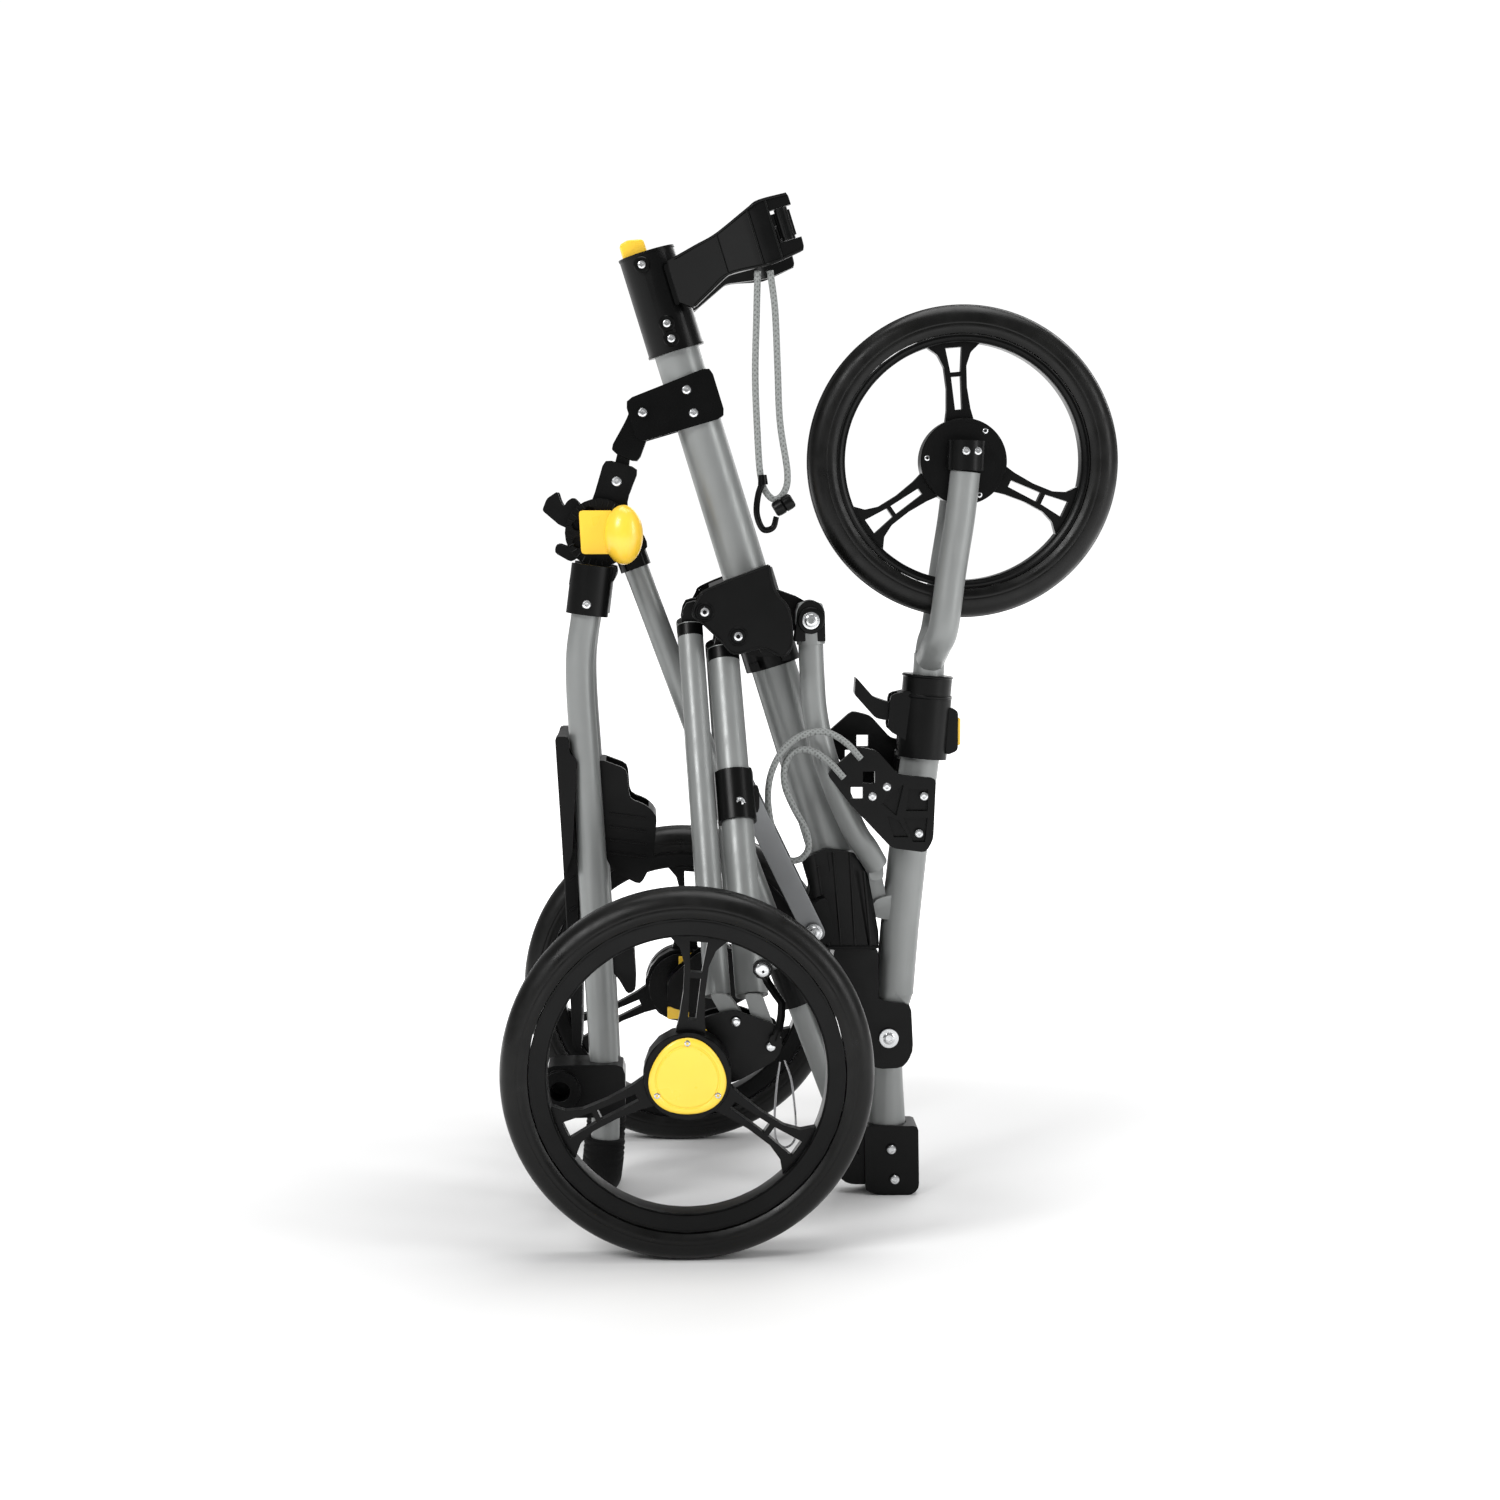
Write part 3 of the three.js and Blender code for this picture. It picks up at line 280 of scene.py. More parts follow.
def prism(bm, outline, y0, y1):
    """An outline in X and Z, carried across from y0 to y1."""
    rings = [[bm.verts.new(Vector((x, y, z)) * MM) for x, z in outline] for y in (y0, y1)]
    ring_faces(bm, rings)
    bm.faces.new(rings[0])
    bm.faces.new(rings[1])


def finish_piece(bm, name, material, body, stands_for=(), bevel=0.0, sharp=38.0):
    """Makes the object: faces out, edges rounded by bevel millimetres, smooth where it turns gently."""
    bmesh.ops.recalc_face_normals(bm, faces=bm.faces)
    mesh = bpy.data.meshes.new(name)
    bm.to_mesh(mesh)
    bm.free()
    piece = bpy.data.objects.new(name, mesh)
    bpy.context.scene.collection.objects.link(piece)
    if bevel:
        rounding = piece.modifiers.new("rounding", "BEVEL")
        rounding.width = bevel * MM
        rounding.segments = 2
        rounding.limit_method = "ANGLE"
        rounding.angle_limit = math.radians(36)
        evaluated = piece.evaluated_get(bpy.context.evaluated_depsgraph_get())
        rounded = bpy.data.meshes.new_from_object(evaluated)
        piece.modifiers.clear()
        piece.data = rounded
    piece.data.materials.clear()
    piece.data.materials.append(material)
    piece.data.shade_smooth()
    piece.data.set_sharp_from_angle(angle=math.radians(sharp))
    weighted = piece.modifiers.new("weighted", "WEIGHTED_NORMAL")
    weighted.keep_sharp = True
    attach(piece, body)
    if stands_for:
        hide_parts(*stands_for)
    return piece


def in_slot(bm, name, slot, body, stands_for=(), bevel=0.0, sharp=38.0):
    """A finished piece in its slot's own material."""
    return finish_piece(bm, name, MATERIALS[slot], body, stands_for, bevel, sharp)


def from_node(node):
    """The node's CAD mesh, welded and with its flat faces merged, ready to be refined."""
    bm = bmesh.new()
    bm.from_mesh(frame["nodes"][node].data)
    bmesh.ops.remove_doubles(bm, verts=bm.verts, dist=2e-6)
    bmesh.ops.dissolve_limit(bm, angle_limit=math.radians(1.5), verts=bm.verts, edges=bm.edges)
    return bm


def on_main(a, y, s):
    """A point beside the main tube: a to its front, s up along it from the knee bolt."""
    across, along = math.cos(MAIN_LEAN), math.sin(MAIN_LEAN)
    return (KNEE_X + a * across + s * along, y, KNEE_Z - a * along + s * across)


# ---- cords --------------------------------------------------------------------------------
UPPER_CORD = [
    (-50, -70, 777), (-51, -71, 740), (-52, -72, 690), (-50, -73, 640), (-48, -74, 613), (-44, -75, 599),
    (-36, -75.5, 592), (-28, -75.5, 599), (-26, -75.5, 615), (-32, -75.5, 655), (-34, -75, 700),
    (-36, -74, 745), (-40, -73, 777),
]
LOWER_CORD = [
    (36, -61, 378), (24, -62, 391), (8, -63, 400), (-10, -64, 399), (-27, -65, 388), (-38, -64, 368),
    (-41, -60, 345), (-37, -52, 317), (-33, -50, 303), (-25, -50, 293), (-14, -50, 293), (-7, -50, 302),
    (-9, -51, 317), (-20, -55, 338), (-27, -59, 356), (-27, -60, 372), (-20, -60, 384), (-6, -60, 385),
    (10, -60, 375), (22, -60.5, 362),
]
BRAKE_CABLE = [
    (-36, -174, 146), (-38.6, -175, 125), (-40, -176, 104), (-39.6, -176, 88), (-37, -176, 80.5),
    (-31.5, -176, 77.5), (-26, -176, 80.5), (-23.4, -176, 88), (-23.6, -175.5, 106), (-27, -174, 132),
    (-32, -173, 147),
]


def cord(name, points, diameter, with_pieces=()):
    """A free cord along points, round and of one diameter, that goes back into the trolley."""
    line = [p * MM for p in smooth_line(points, 10)]
    curve = bpy.data.curves.new(name, "CURVE")
    curve.dimensions = "3D"
    curve.bevel_depth = diameter * MM / 2
    curve.bevel_resolution = 5
    curve.use_fill_caps = True
    spline = curve.splines.new("POLY")
    spline.points.add(len(line) - 1)
    for point, at in zip(spline.points, line):
        point.co = (*at, 1)
    piece = bpy.data.objects.new(name + "_line", curve)
    bpy.context.scene.collection.objects.link(piece)
    curve.materials.append(MATERIALS[SLOT_OF[name]])
    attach(piece, BODY_OF[name])
    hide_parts(name)


def hook_and_toggle():
    """The hook and the toggle at the upper cord's bend."""
    bm = bmesh.new()
    hook = [(-46, -80, 607), (-50, -80, 595), (-51, -80, 580), (-46, -80, 568), (-38, -80, 569),
            (-35, -80, 578)]
    line = smooth_line(hook, 8)
    sweep(bm, line, [2.6 - 1.0 * max(0, i / len(line) - 0.7) for i in range(len(line))], 16)
    sweep(bm, [(-46, -80, 604), (-46.4, -80, 612)], [4.2, 3.4], 20)
    hook_piece = in_slot(bm, "cord_hook", "satin_black", "frame", ["bungee_hook"])
    bm = bmesh.new()
    start, end = Vector((-37, -85.5, 583)), Vector((-22, -85.5, 592))
    steps = [(0, 4.5), (0.06, 6.0), (0.2, 6.5), (0.45, 6.5), (0.5, 5.4), (0.55, 6.5), (0.8, 6.5),
             (0.94, 6.0), (1, 4.5)]
    sweep(bm, [start + t * (end - start) for t, _ in steps], [r for _, r in steps], 28)
    toggle = in_slot(bm, "cord_toggle", "black_plastic", "frame", ["bungee_toggle"])
    return [hook_piece, toggle]


cord("upper_bungee", UPPER_CORD, 5.6, hook_and_toggle())
cord("lower_bungee", LOWER_CORD, 5.6)
cord("brake_cable", BRAKE_CABLE, 1.8)

# ---- round tubes, drawn finer than the frame's facets ---------------------------------------
SKIN = 0.12  # how far a fine skin lies outside the frame's facets
HANDLE_ROUTE = [(-190, 512), (-192, 494), (-196, 465), (-196, 430), (-192, 370), (-186, 280), (-181, 190),
                (-177, 100), (-177, 62), (-178, 48)]
FORK_ROUTE = [(124.5, 31, 615), (120, 31, 575), (113, 31, 530), (107, 31, 485), (102, 22, 470),
              (98.5, 5, 458)]
PROP_ROUTE = [(-4.5, -36, 474), (-3.5, -36, 450), (-1, -36, 416), (6, -36, 383), (18, -35, 348),
              (34, -28, 313), (44, -21, 298), (52, -13, 284)]
GRIP_HALF = [(-177.6, -48, 58), (-178.6, -48, 44), (-180.5, -39, 27), (-181, -24, 22)]
LEG = ((-78, 468), (-57.5, 197))  # a leg tube's top and low ends, in X and Z
THIN = ((-105.5, 488), (-85, 197))  # the same of the thin tube beside it
LEG_TOP_Y, LEG_LOW_Y = 45, 159
BOW_FOOT = 170  # the height above which the column is bowed


def column_middle(z):
    """Where the column's middle line lies in X at a height."""
    if z > BOW_FOOT:
        t = (z - 52) / 332
        return 64 + 28 * t - 5 * math.sin(math.pi * t)
    slope = -0.004 if z < KNEE_Z else 0.06
    return KNEE_X + (z - KNEE_Z) * slope


def tube_ends(tube, side):
    """The two ends of a leg tube or a thin tube on one side."""
    (top_x, top_z), (low_x, low_z) = tube
    return [Vector((top_x, side * LEG_TOP_Y, top_z)), Vector((low_x, side * LEG_LOW_Y, low_z))]


def skins():
    """For each tube node, what draws its fine skin into a mesh."""
    made = {
        "main_tube": lambda bm: sweep(bm, [on_main(0, 0, 123), on_main(0, 0, 675)], 19 + SKIN, 64),
        "stay_tube": lambda bm: sweep(bm, [(25.4, 0, 64), (-155.1, 0, 548)], 10.2 + SKIN, 40),
        "prop_tube": lambda bm: sweep(bm, smooth_line(PROP_ROUTE, 6), 10.2 + 2 * SKIN, 36),
    }
    for name, side in SIDES:
        leg = tube_ends(LEG, side)
        thin = tube_ends(THIN, side)
        handle = smooth_line([(x, side * 48, z) for x, z in HANDLE_ROUTE], 6)
        wheel = (REAR_X, side * REAR_Y, REAR_Z)
        made[f"leg_tube_{name}"] = lambda bm, line=leg: sweep(bm, line, 13 + SKIN, 40)
        made[f"leg_thin_tube_{name}"] = lambda bm, line=thin: sweep(bm, line, 10.4 + SKIN, 36)
        made[f"handle_tube_{name}"] = lambda bm, line=handle: sweep(bm, line, 11.6 + 2 * SKIN, 40)
        made[f"rear_rim_{name}"] = lambda bm, at=wheel, s=side: rim_rings(bm, at, s, 109.5, 123.4, 34, 13)

    def fork(bm):
        for side in BOTH:
            sweep(bm, smooth_line([(x, side * y, z) for x, y, z in FORK_ROUTE], 6), 12.3 + 2 * SKIN, 36)
        sweep(bm, [(95, 0, 401.2), (98.4, 0, 462)], 13 + SKIN, 40)

    made["fork"] = fork
    made["front_rim"] = lambda bm: rim_rings(bm, (FRONT_X, 0, FRONT_Z), 0, 100, 106.6, 36, 10)
    return made


def rim_rings(bm, centre, side, inner, outer, hub, half):
    """The rim's ring with its two lips, and the hub's drum; side 0 draws a drum on both faces."""
    lips = [(inner - 0.5, -half + 1), (inner + 1, -half - 1), (outer - 3, -half - 2.2),
            (outer - 0.6, -half - 1.6), (outer - 0.2, half + 1.6), (outer - 3, half + 2.2),
            (inner + 1, half + 1), (inner - 0.5, half - 1)]
    lathe(bm, lips, centre, segments=144, closed=True)
    drum = half + 5
    steps = [(hub + 0.3, 0), (hub + 0.3, drum - 1.2), (hub - 0.9, drum + 0.1), (hub - 3.4, drum + 0.1),
             (hub - 4.2, drum - 1.0), (hub - 9, drum - 1.0), (hub - 9.8, drum + 0.05),
             (hub - 12, drum + 0.05), (8, drum + 0.05), (8, 0)]
    for face in (BOTH if side == 0 else (side,)):
        lathe(bm, [(r, face * h) for r, h in steps], centre, segments=96, closed=True)


TUBE_SKINS = skins()

# How much each node's edges are rounded, in millimetres, where it isn't the usual amount.
USUAL_ROUNDING = 0.6
ROUNDING = {
    "knee_yoke": 1.6, "cone_bracket": 1.2, "hub_housing": 1.4, "foot_bracket": 1.4, "console": 1.0,
    "link_bracket": 1.2, "umbrella_mount": 1.6, "upper_bag_bracket": 1.1, "release_button": 1.6,
    "latch_button": 1.2, "clamp_lever": 1.2, "console_lid": 1.0, "link_bar": 1.2, "link_clevis": 1.4,
    "axle_bracket_near": 1.0, "axle_bracket_far": 1.0, "strut_near": 0.8, "strut_far": 0.8,
    "rear_rim_near": 0.9, "rear_rim_far": 0.9, "front_rim": 0.9, "fork_clamp": 1.2,
}


def refined(node):
    """The node's own mesh with rounded edges, and a fine skin over it where it is a tube or a rim."""
    width = ROUNDING.get(node, USUAL_ROUNDING)
    in_slot(from_node(node), node + "_body", SLOT_OF[node], BODY_OF[node], [node], bevel=width)
    draw = TUBE_SKINS.get(node)
    if draw:
        skin = bmesh.new()
        draw(skin)
        in_slot(skin, node + "_skin", SLOT_OF[node], BODY_OF[node])


# ---- pieces made afresh ---------------------------------------------------------------------
def tyre(node, centre, seat, tread, width):
    """A rounded foam tyre with shoulder grooves and three grooves round the tread."""
    half = width / 2
    side = [(seat, half - 3), (seat + 3, half - 1), (seat + 6, half - 0.2), (seat + 8, half - 0.8),
            (seat + 9.4, half - 0.2), (tread - 9.5, half - 1.0), (tread - 6, half - 2.6),
            (tread - 3, half - 5.4), (tread - 1.1, half - 8.6), (tread - 0.2, half - 12)]
    grooves = []
    for middle in (-5.2, 0, 5.2):
        grooves += [(tread, middle - 1.3), (tread - 1.1, middle - 0.7)]
        grooves += [(tread - 1.1, middle + 0.7), (tread, middle + 1.3)]
    profile = [(r, -y) for r, y in side] + grooves + [(r, y) for r, y in reversed(side)]
    bm = bmesh.new()
    lathe(bm, profile, centre, segments=180, closed=True)
    in_slot(bm, node + "_body", "tyre", BODY_OF[node], [node])


def hub_cap(name, side):
    """The yellow cover: a rounded triangle with a raised rim and a shallow dish."""
    centre = (REAR_X, side * 233.4, REAR_Z)
    steps = [(0, 0), (29.5, 0), (29.9, 2.4), (29.0, 3.6), (27.6, 4.1), (25.4, 4.1), (24.7, 3.5), (24.0, 3.5),
             (23.3, 4.2), (18, 4.4), (0, 4.5)]

    def three_lobed(index, radius, turn):
        return radius * (1 + 0.045 * math.cos(3 * turn) * (radius / 29.5) ** 2)

    bm = bmesh.new()
    lathe(bm, [(r, side * h) for r, h in steps], centre, segments=144, radius_at=three_lobed)
    finish_piece(bm, f"hub_cap_{name}_body", CAP_YELLOW, BODY_OF[f"hub_cap_{name}"],
                 [f"hub_cap_{name}"])


def grip():
    """The soft grip round the foot of the handle, with moulded rings near its ends."""
    path = [*GRIP_HALF, (-181, 0, 21), *[(x, -y, z) for x, y, z in reversed(GRIP_HALF)]]
    line = smooth_line(path, 10)
    last = len(line) - 1
    radii = []
    for i in range(last + 1):
        from_end = min(i, last - i)
        rounded_end = 1.6 if from_end == 0 else 0
        groove = 0.9 if from_end in (4, 7, 10) else 0
        radii.append(17.2 - rounded_end - groove)
    bm = bmesh.new()
    sweep(bm, line, radii, 40)
    in_slot(bm, "handle_grip_body", "rubber_grip", "handle", ["handle_grip"])


def column():
    """The column: round above the knee, drawn in at the knee and wider again towards the foot."""
    steps = [(384, 16.5), (340, 16.5), (290, 16.5), (230, 16.5), (190, 16.5), (176, 16.5), (165, 15.4),
             (152, 14.0), (137, 13.3), (120, 13.2), (100, 13.8), (75, 15.0), (50, 16.4), (40.3, 16.9)]
    bm = bmesh.new()
    sweep(bm, [(column_middle(z), 0, z) for z, _ in steps], [r for _, r in steps], 48)
    in_slot(bm, "column_tube_skin", "aluminium_tube", "column")


def clamp_knob():
    """The yellow lever's thumb knob, a smooth egg cut flat on its inner face."""
    inner_face = -30.9
    bm = bmesh.new()
    bmesh.ops.create_uvsphere(bm, u_segments=56, v_segments=32, radius=1.0)
    scale = Matrix.Diagonal((16.1, 15.1, 24.7, 1.0))
    bm.transform(Matrix.Scale(MM, 4) @ Matrix.Translation((-160, -43, 563)) @ scale)
    for vertex in bm.verts:
        vertex.co.y = min(vertex.co.y, inner_face * MM)
    bmesh.ops.remove_doubles(bm, verts=bm.verts, dist=1e-7)
    in_slot(bm, "clamp_knob", "yellow_plastic", "clamp_lever", sharp=60)


def joint_teeth():
    """Radial teeth round the handle joint's discs, on the faces that look outwards."""
    bm = bmesh.new()
    for side in BOTH:
        for k in range(30):
            turn = math.radians(12 * k)
            across, along = math.cos(turn), math.sin(turn)
            points = [(-180.5 + r * across, side * 30, 564.5 + r * along) for r in (22.6, 27.6)]
            sweep(bm, points, 0.75, 8)
    in_slot(bm, "handle_joint_teeth", "black_plastic", "handle")


def lid_ribs():
    """Ribs across the tray's lid and a raised finger pad at its top."""
    bm = bmesh.new()
    for k in range(6):
        z = 246 + 16 * k
        x = -216 + (374 - z) * 8 / 156
        prism(bm, [(x - 0.7, z), (x + 1.5, z), (x + 1.5, z + 3.2), (x - 0.7, z + 3.2)], -27, 27)
    prism(bm, [(-216.4, 354), (-214, 354), (-214, 366), (-216.8, 366)], -14, 14)
    in_slot(bm, "console_lid_ribs", "black_plastic", "console_lid", bevel=0.4)


def tray_ribs():
    """Stiffening ribs on the tray's sides and round the cup holder's mouth."""
    bm = bmesh.new()
    for side in BOTH:
        for k in range(5):
            z = 222 + 26 * k
            y0, y1 = sorted((side * 37.5, side * 39.4))
            prism(bm, [(-206.5, z), (-201.5, z + 3), (-201.5, z + 5), (-206.5, z + 2)], y0, y1)
    for k in range(4):
        z = 296 + 11 * k
        prism(bm, [(-172, z), (-142, z - 4), (-142, z - 2), (-172, z + 2)], -31, 31)
    in_slot(bm, "console_ribs", "black_plastic", "handle", bevel=0.3)


def eye_shell(node, height):
    """The part of a node above a height, a little larger than the node itself."""
    growth = 0.14
    bm = from_node(node)
    everything = [*bm.verts, *bm.edges, *bm.faces]
    bmesh.ops.bisect_plane(bm, geom=everything, plane_co=(0, 0, height * MM), plane_no=(0, 0, -1),
                           clear_outer=True)
    bmesh.ops.holes_fill(bm, edges=bm.edges)
    bm.normal_update()
    grown = [vertex.co + vertex.normal * growth * MM for vertex in bm.verts]
    for vertex, place in zip(bm.verts, grown):
        vertex.co = place
    return bm


def tube_cap(name, body, node, tube, side, foot, shares, radii):
    """A black end over a tube's top: its eye above the foot height, and a sleeve at shares of its length."""
    bm = eye_shell(node, foot)
    top, low = tube_ends(tube, side)
    sweep(bm, [top + t * (low - top) for t in shares], radii, 40)
    in_slot(bm, name, "black_plastic", body)


def end_caps():
    """Black moulded ends over the tops of the leg tubes, the thin tubes and the prop."""
    right, width, shoulder, crown = 6.9, 23.8, 495.6, 13.2
    turns = [math.pi * k / 16 for k in range(17)]
    head = [(right - width * (1 - math.cos(t)) / 2, shoulder + crown * math.sin(t)) for t in turns]
    boss = [(0, 0), (11.2, 0), (11.2, 2.6), (10.2, 3.3), (7.4, 3.3), (0, 3.3)]
    bm = bmesh.new()
    prism(bm, [*head, (-18.6, 474.5), (7.4, 474.5)], -46.6, -23.4)
    lathe(bm, boss, (-5, -46, 492), (0, -1, 0))
    in_slot(bm, "prop_head_cap", "black_plastic", "prop", bevel=0.8)
    for name, side in SIDES:
        tube_cap(f"leg_top_{name}", f"leg_{name}", f"leg_tube_{name}", LEG, side, 466,
                 (0.0, 0.004, 0.036, 0.04), [12.9, 13.3, 13.3, 12.9])
        tube_cap(f"thin_tube_top_{name}", f"thin_{name}", f"leg_thin_tube_{name}", THIN, side, 484,
                 (0.0, 0.004, 0.032, 0.036), [10.3, 10.75, 10.75, 10.3])


def release_tabs():
    """The yellow thumb tabs of the wheel releases, on the drums' inner faces."""
    reach = 24
    high = 5.5
    for name, side in SIDES:
        bm = bmesh.new()
        y0, y1 = sorted((side * 183.2, side * 189.6))
        for degrees, half in ((15, 9.7), (190, 9.9)):
            turn = math.radians(degrees)
            x = REAR_X + reach * math.sin(turn)
            z = REAR_Z + reach * math.cos(turn)
            left, right = x - half, x + half
            prism(bm, [(left, z - high), (right, z - high), (right, z + high), (left, z + high)], y0, y1)
            prism(bm, [(x - 2, z + 5), (x + 3, z + 5), (x + 2.4, z + 8), (x - 1.4, z + 8)], y0 + 1, y1 - 1)
        in_slot(bm, f"release_tabs_{name}", "yellow_plastic", f"wheel_{name}", bevel=0.8)


# The outline of the sliding hub's cheek, and where its bolts are in X and Z.
HUB_EDGE = [(19, 414), (18, 392), (24, 374), (18, 347), (8, 340), (-6, 351), (-29, 353.5), (-36, 366),
            (-46, 384), (-52, 394), (-44, 405), (-34, 410), (19, 414)]
HUB_BOLTS = ((-93.5, 500), (-66, 480))


def hub_rims():
    """The raised lip round each cheek of the sliding hub, and the bosses under its bolts."""
    ring = [(5.6, 0), (6.6, 0.9), (7.4, 0.9), (8.2, 0)]
    bm = bmesh.new()
    for side in BOTH:
        sweep(bm, smooth_line([on_main(a, side * 72.6, s) for a, s in HUB_EDGE], 5), 1.15, 12)
        for x, z in HUB_BOLTS:
            lathe(bm, [(r, side * h) for r, h in ring], (x, side * 72.9, z), closed=True)
    in_slot(bm, "hub_lips", "black_plastic", "hub")


def bracket_details():
    """Lips, bosses and ridges that stiffen the upper bracket."""
    bm = bmesh.new()
    edges = [
        [(20, 30.2, 677.6), (40, 43.6, 681), (58, 56.8, 684), (86, 83.6, 693.4), (97, 85.4, 697),
         (120, 86, 696)],
        [(25, 33.2, 635.6), (40, 43.6, 643), (58, 56.8, 650.6), (86, 83.6, 647), (97, 85.4, 646.8),
         (120, 86, 650)],
    ]
    boss = [(4.4, 0), (4.4, 1.2), (6.0, 1.2), (6.8, 0.5), (6.8, 0)]
    for side in BOTH:
        for edge in edges:
            sweep(bm, smooth_line([on_main(a, side * y, s) for a, y, s in edge], 5), 1.2, 12)
        for a, y, low, high in ((58, 56.8, 651, 684), (86, 83.4, 647.5, 693), (102, 85.8, 647.5, 696)):
            sweep(bm, [on_main(a, side * y, low), on_main(a, side * y, high)], 1.0, 12)
        for a, y, s in ((-7, 24.3, 681), (-1.5, 23.0, 629), (-1.5, 23.0, 616)):
            lathe(bm, [(r, side * h) for r, h in boss], on_main(a, side * y, s), closed=True)
        for shift in (-4.2, 4.2):
            sweep(bm, [on_main(-1.5 + shift, side * 23.0, s) for s in (618, 627)], 1.2, 12)
    for low, high in ((605.4, 607.4), (689, 691)):
        sweep(bm, [on_main(0, 0, low), on_main(0, 0, high)], 24.2, 64)
    in_slot(bm, "upper_bracket_details", "black_plastic", "frame")


def cone_ribs():
    """Ribs down the cone bracket's sides, a band along its foot, and two lips round the fork clamp."""
    ribs = [((2, 284), (12, 216)), ((15, 296), (22, 216)), ((29, 296), (34, 216)), ((41, 280), (47, 216))]
    bm = bmesh.new()
    for side in BOTH:
        y = side * 26.9
        for (x0, z0), (x1, z1) in ribs:
            sweep(bm, [(x0, y, z0), (x1, y, z1)], 1.1, 10)
        sweep(bm, [(3, y, 215.5), (54, y, 215.5)], 1.5, 12)
    in_slot(bm, "cone_ribs", "black_plastic", "frame")
    bm = bmesh.new()
    for at, high, radius in (((95.0, 0, 424.5), 3.0, 22.4), ((96.6, 0, 441.6), 2.6, 21.7)):
        ring = [(14.4, 0), (14.4, high), (radius - 0.8, high), (radius, high - 0.8), (radius, 0.8),
                (radius - 0.8, 0)]
        lathe(bm, ring, at, (0.083, 0, 1), 72, closed=True)
    in_slot(bm, "fork_clamp_lips", "black_plastic", "column")


# ---- screws and bolts -----------------------------------------------------------------------
def hexagonal(radius, turn):
    """The radius of a hexagon's side at an angle, where radius is that of its corners."""
    return radius * math.cos(math.pi / 6) / math.cos((turn % (math.pi / 3)) - math.pi / 6)


def screw(bm, at, side, radius, washer=0.0):
    """A button head with a hexagon socket, its face to the side, with a washer under it where asked."""
    head = [(0, -0.6), (radius, -0.6), (radius, 0.5), (0.86 * radius, 1.2), (0.6 * radius, 1.5),
            (0.5 * radius, 1.5), (0.48 * radius, 0.5), (0, 0.4)]
    socket_edge = 5  # from this point of the profile on, it is the socket

    def socket(index, r, turn):
        return hexagonal(r, turn) if index >= socket_edge else r

    lathe(bm, [(r, side * h) for r, h in head], at, segments=36, radius_at=socket)
    if washer:
        hole = radius * 0.7
        ring = [(washer, -0.8), (washer, 0.05), (washer - 0.5, 0.25), (hole, 0.25), (hole, -0.8)]
        lathe(bm, [(r, side * h) for r, h in ring], at, segments=40, closed=True)


# A row gives a screw's place, the side it faces, its radius, and its washer's radius or 0.
def main_screws():
    """The frame's screws, mirrored: those along the main tube, the strut bolts and the fold bolt."""
    beside_tube = ((-7, 24.4, 681, 3.6), (-1.4, 23.4, 629, 3.6), (-1.5, 23.4, 616, 3.6),
                   (-2, 22.4, 572, 3.8), (-2, 22.4, 552, 3.8), (-42.4, 25.6, 564.6, 3.8))
    rows = []
    for side in BOTH:
        rows += [(on_main(a, side * y, s), side, radius, 0) for a, y, s, radius in beside_tube]
        rows.append(((-2.5, side * 55.6, 232), side, 5.0, 7.2))
        rows.append(((KNEE_X, side * 27.3, KNEE_Z), side, 5.2, 8.2))
    return rows


def screw_rows():
    """Every screw, by the body that holds it."""
    rows = {
        "frame": main_screws(),
        "hub": [((x, s * 74.2, z), s, 3.9, 0) for s in BOTH for x, z in HUB_BOLTS],
        "link": [((-166, s * 15.4, 607), s, 4.2, 0) for s in BOTH],
        "handle": [((-190.2, s * 65.2, 506), s, 3.6, 0) for s in BOTH],
        "column": [((x, s * 22.4, z), s, 3.9, 0) for s in BOTH for x, z in ((66, 40), (69, 14))],
        "prop": [((-5, -49.4, 492), -1, 5.4, 7.2)],
    }
    for x, z in ((89, 346), (85, 315), (58, 354), (46, 346)):
        rows["column"] += [((x, -56.9, z), -1, 3.6, 0), ((x + 2, 56.9, z + 22), 1, 3.6, 0)]
    for x, y in ((123.5, 46.1), (133.5, 44.0)):
        rows["column"] += [((x, s * y, 632), s, 3.4, 0) for s in BOTH]
    rear_turns = [math.radians(degrees) for degrees in (0, 120, 240)]
    for name, s in SIDES:
        rows[f"leg_{name}"] = [((-66, s * 111.4, 347), s, 3.6, 4.6)]
        rows[f"axle_{name}"] = [((-71, s * 183.8, 180), s, 3.6, 0), ((-43.5, s * 183.8, 160), s, 3.6, 0),
                                ((-50, s * 189.6, 223), s, 6.2, 0)]
        rows[f"wheel_{name}"] = [
            ((REAR_X + 27.3 * math.sin(t), s * 236.6, REAR_Z + 27.3 * math.cos(t)), s, 2.6, 0)
            for t in rear_turns]
    front_turns = [math.radians(degrees) for degrees in (55, 175, 295)]
    rows["front_wheel"] = [
        ((FRONT_X + 31 * math.cos(t), s * 14.4, FRONT_Z + 31 * math.sin(t)), s, 2.6, 0)
        for s in BOTH for t in front_turns]
    return rows


def screws():
    """One piece of screw heads for each body that has any."""
    for body, rows in screw_rows().items():
        bm = bmesh.new()
        for at, side, radius, washer in rows:
            screw(bm, at, side, radius, washer)
        finish_piece(bm, f"screws_{body}", SCREW, body, sharp=32)


# ---- building it ----------------------------------------------------------------------------
# Nodes that are drawn afresh above, so their own meshes aren't used.
AFRESH = {"rear_tyre_near", "rear_tyre_far", "front_tyre", "hub_cap_near", "hub_cap_far", "handle_grip",
          "upper_bungee", "lower_bungee", "brake_cable", "bungee_hook", "bungee_toggle"}

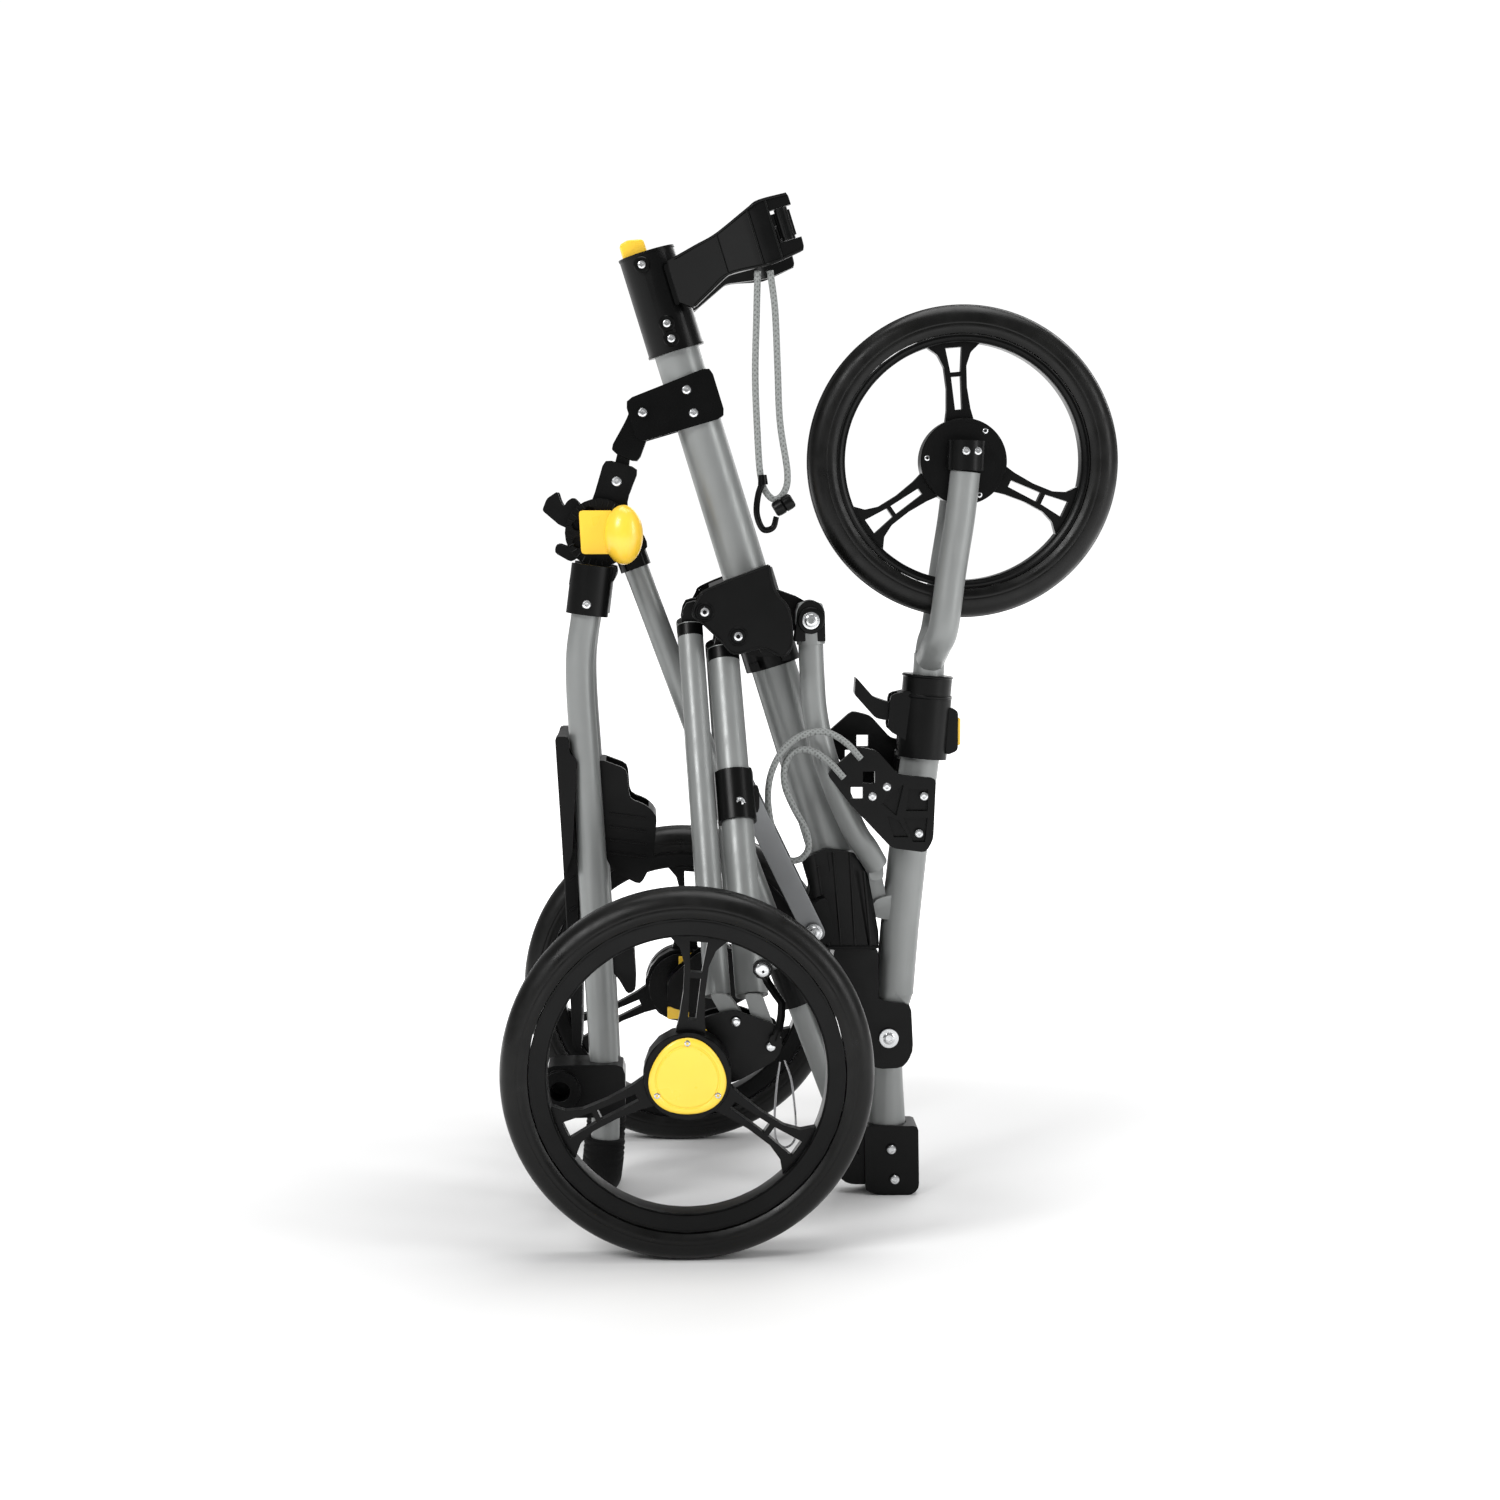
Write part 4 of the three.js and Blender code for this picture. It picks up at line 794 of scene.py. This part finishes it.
for node in sorted(frame["nodes"]):
    if node not in AFRESH:
        refined(node)
for name, side in SIDES:
    tyre(f"rear_tyre_{name}", (REAR_X, side * REAR_Y, REAR_Z), 124, 146, 42)
    hub_cap(name, side)
tyre("front_tyre", (FRONT_X, 0, FRONT_Z), 107, 131, 36)
grip()
column()
clamp_knob()
joint_teeth()
lid_ribs()
tray_ribs()
end_caps()
release_tabs()
hub_rims()
bracket_details()
cone_ribs()
screws()

# ---- floor, light and background --------------------------------------------------------------
floor_mesh = bpy.data.meshes.new("floor")
floor_mesh.from_pydata([(-15, -6, 0), (15, -6, 0), (15, 20, 0), (-15, 20, 0)], [], [(0, 1, 2, 3)])
floor = bpy.data.objects.new("floor", floor_mesh)
bpy.context.scene.collection.objects.link(floor)
floor_look = Nodes("pale_floor")
floor_look.shader.inputs["Roughness"].default_value = 0.75
floor_look.shader.inputs["Specular IOR Level"].default_value = 0.15
floor_look.shader.inputs["Emission Color"].default_value = (1, 1, 1, 1)
# The floor glows more with distance, so that it runs into the white background without an edge.
distance = floor_look.make("ShaderNodeVectorMath", operation="LENGTH")
floor_look.link(floor_look.place, distance.inputs[0])
fade = floor_look.make("ShaderNodeMapRange", interpolation_type="SMOOTHSTEP")
for socket, value in (("From Min", 0.35), ("From Max", 1.3), ("To Min", 0.0), ("To Max", 1.1)):
    fade.inputs[socket].default_value = value
floor_look.link(distance.outputs["Value"], fade.inputs["Value"])
floor_look.link(fade.outputs["Result"], floor_look.shader.inputs["Emission Strength"])
floor_look.colours(floor_look.noise(3.0), (0.80, 0.80, 0.80), (0.83, 0.83, 0.83))
floor_mesh.materials.append(floor_look.material)


def softbox(name, at, aim, size, watts):
    """A rectangular lamp that the camera doesn't see."""
    data = bpy.data.lights.new(name, "AREA")
    data.shape = "RECTANGLE"
    data.size, data.size_y = size
    data.energy = watts
    lamp = bpy.data.objects.new(name, data)
    bpy.context.scene.collection.objects.link(lamp)
    lamp.location = at
    lamp.rotation_euler = (Vector(aim) - Vector(at)).to_track_quat("-Z", "Y").to_euler()
    lamp.visible_camera = False


softbox("key", (-2.2, -2.6, 2.6), (0, 0, 0.4), (1.4, 1.4), 88)
softbox("fill", (2.6, -1.6, 1.3), (0, 0, 0.4), (1.0, 1.8), 34)
softbox("top", (0.2, 0.3, 3.2), (0, 0, 0.3), (2.2, 2.2), 62)
softbox("rim", (1.2, 2.6, 1.8), (0, 0, 0.5), (2.0, 1.6), 30)

# The camera sees a white background, and the object is lit by a fainter one.
WHITE = (1, 1, 1, 1)
world = bpy.data.worlds.new("studio")
bpy.context.scene.world = world
world.use_nodes = True
background = world.node_tree.nodes["Background"]
background.inputs["Color"].default_value = WHITE
background.inputs["Strength"].default_value = 0.30
seen = world.node_tree.nodes.new("ShaderNodeBackground")
seen.inputs["Color"].default_value = WHITE
seen.inputs["Strength"].default_value = 1.05
rays = world.node_tree.nodes.new("ShaderNodeLightPath")
mix = world.node_tree.nodes.new("ShaderNodeMixShader")
world.node_tree.links.new(rays.outputs["Is Camera Ray"], mix.inputs[0])
world.node_tree.links.new(background.outputs[0], mix.inputs[1])
world.node_tree.links.new(seen.outputs[0], mix.inputs[2])
world.node_tree.links.new(mix.outputs[0], world.node_tree.nodes["World Output"].inputs["Surface"])
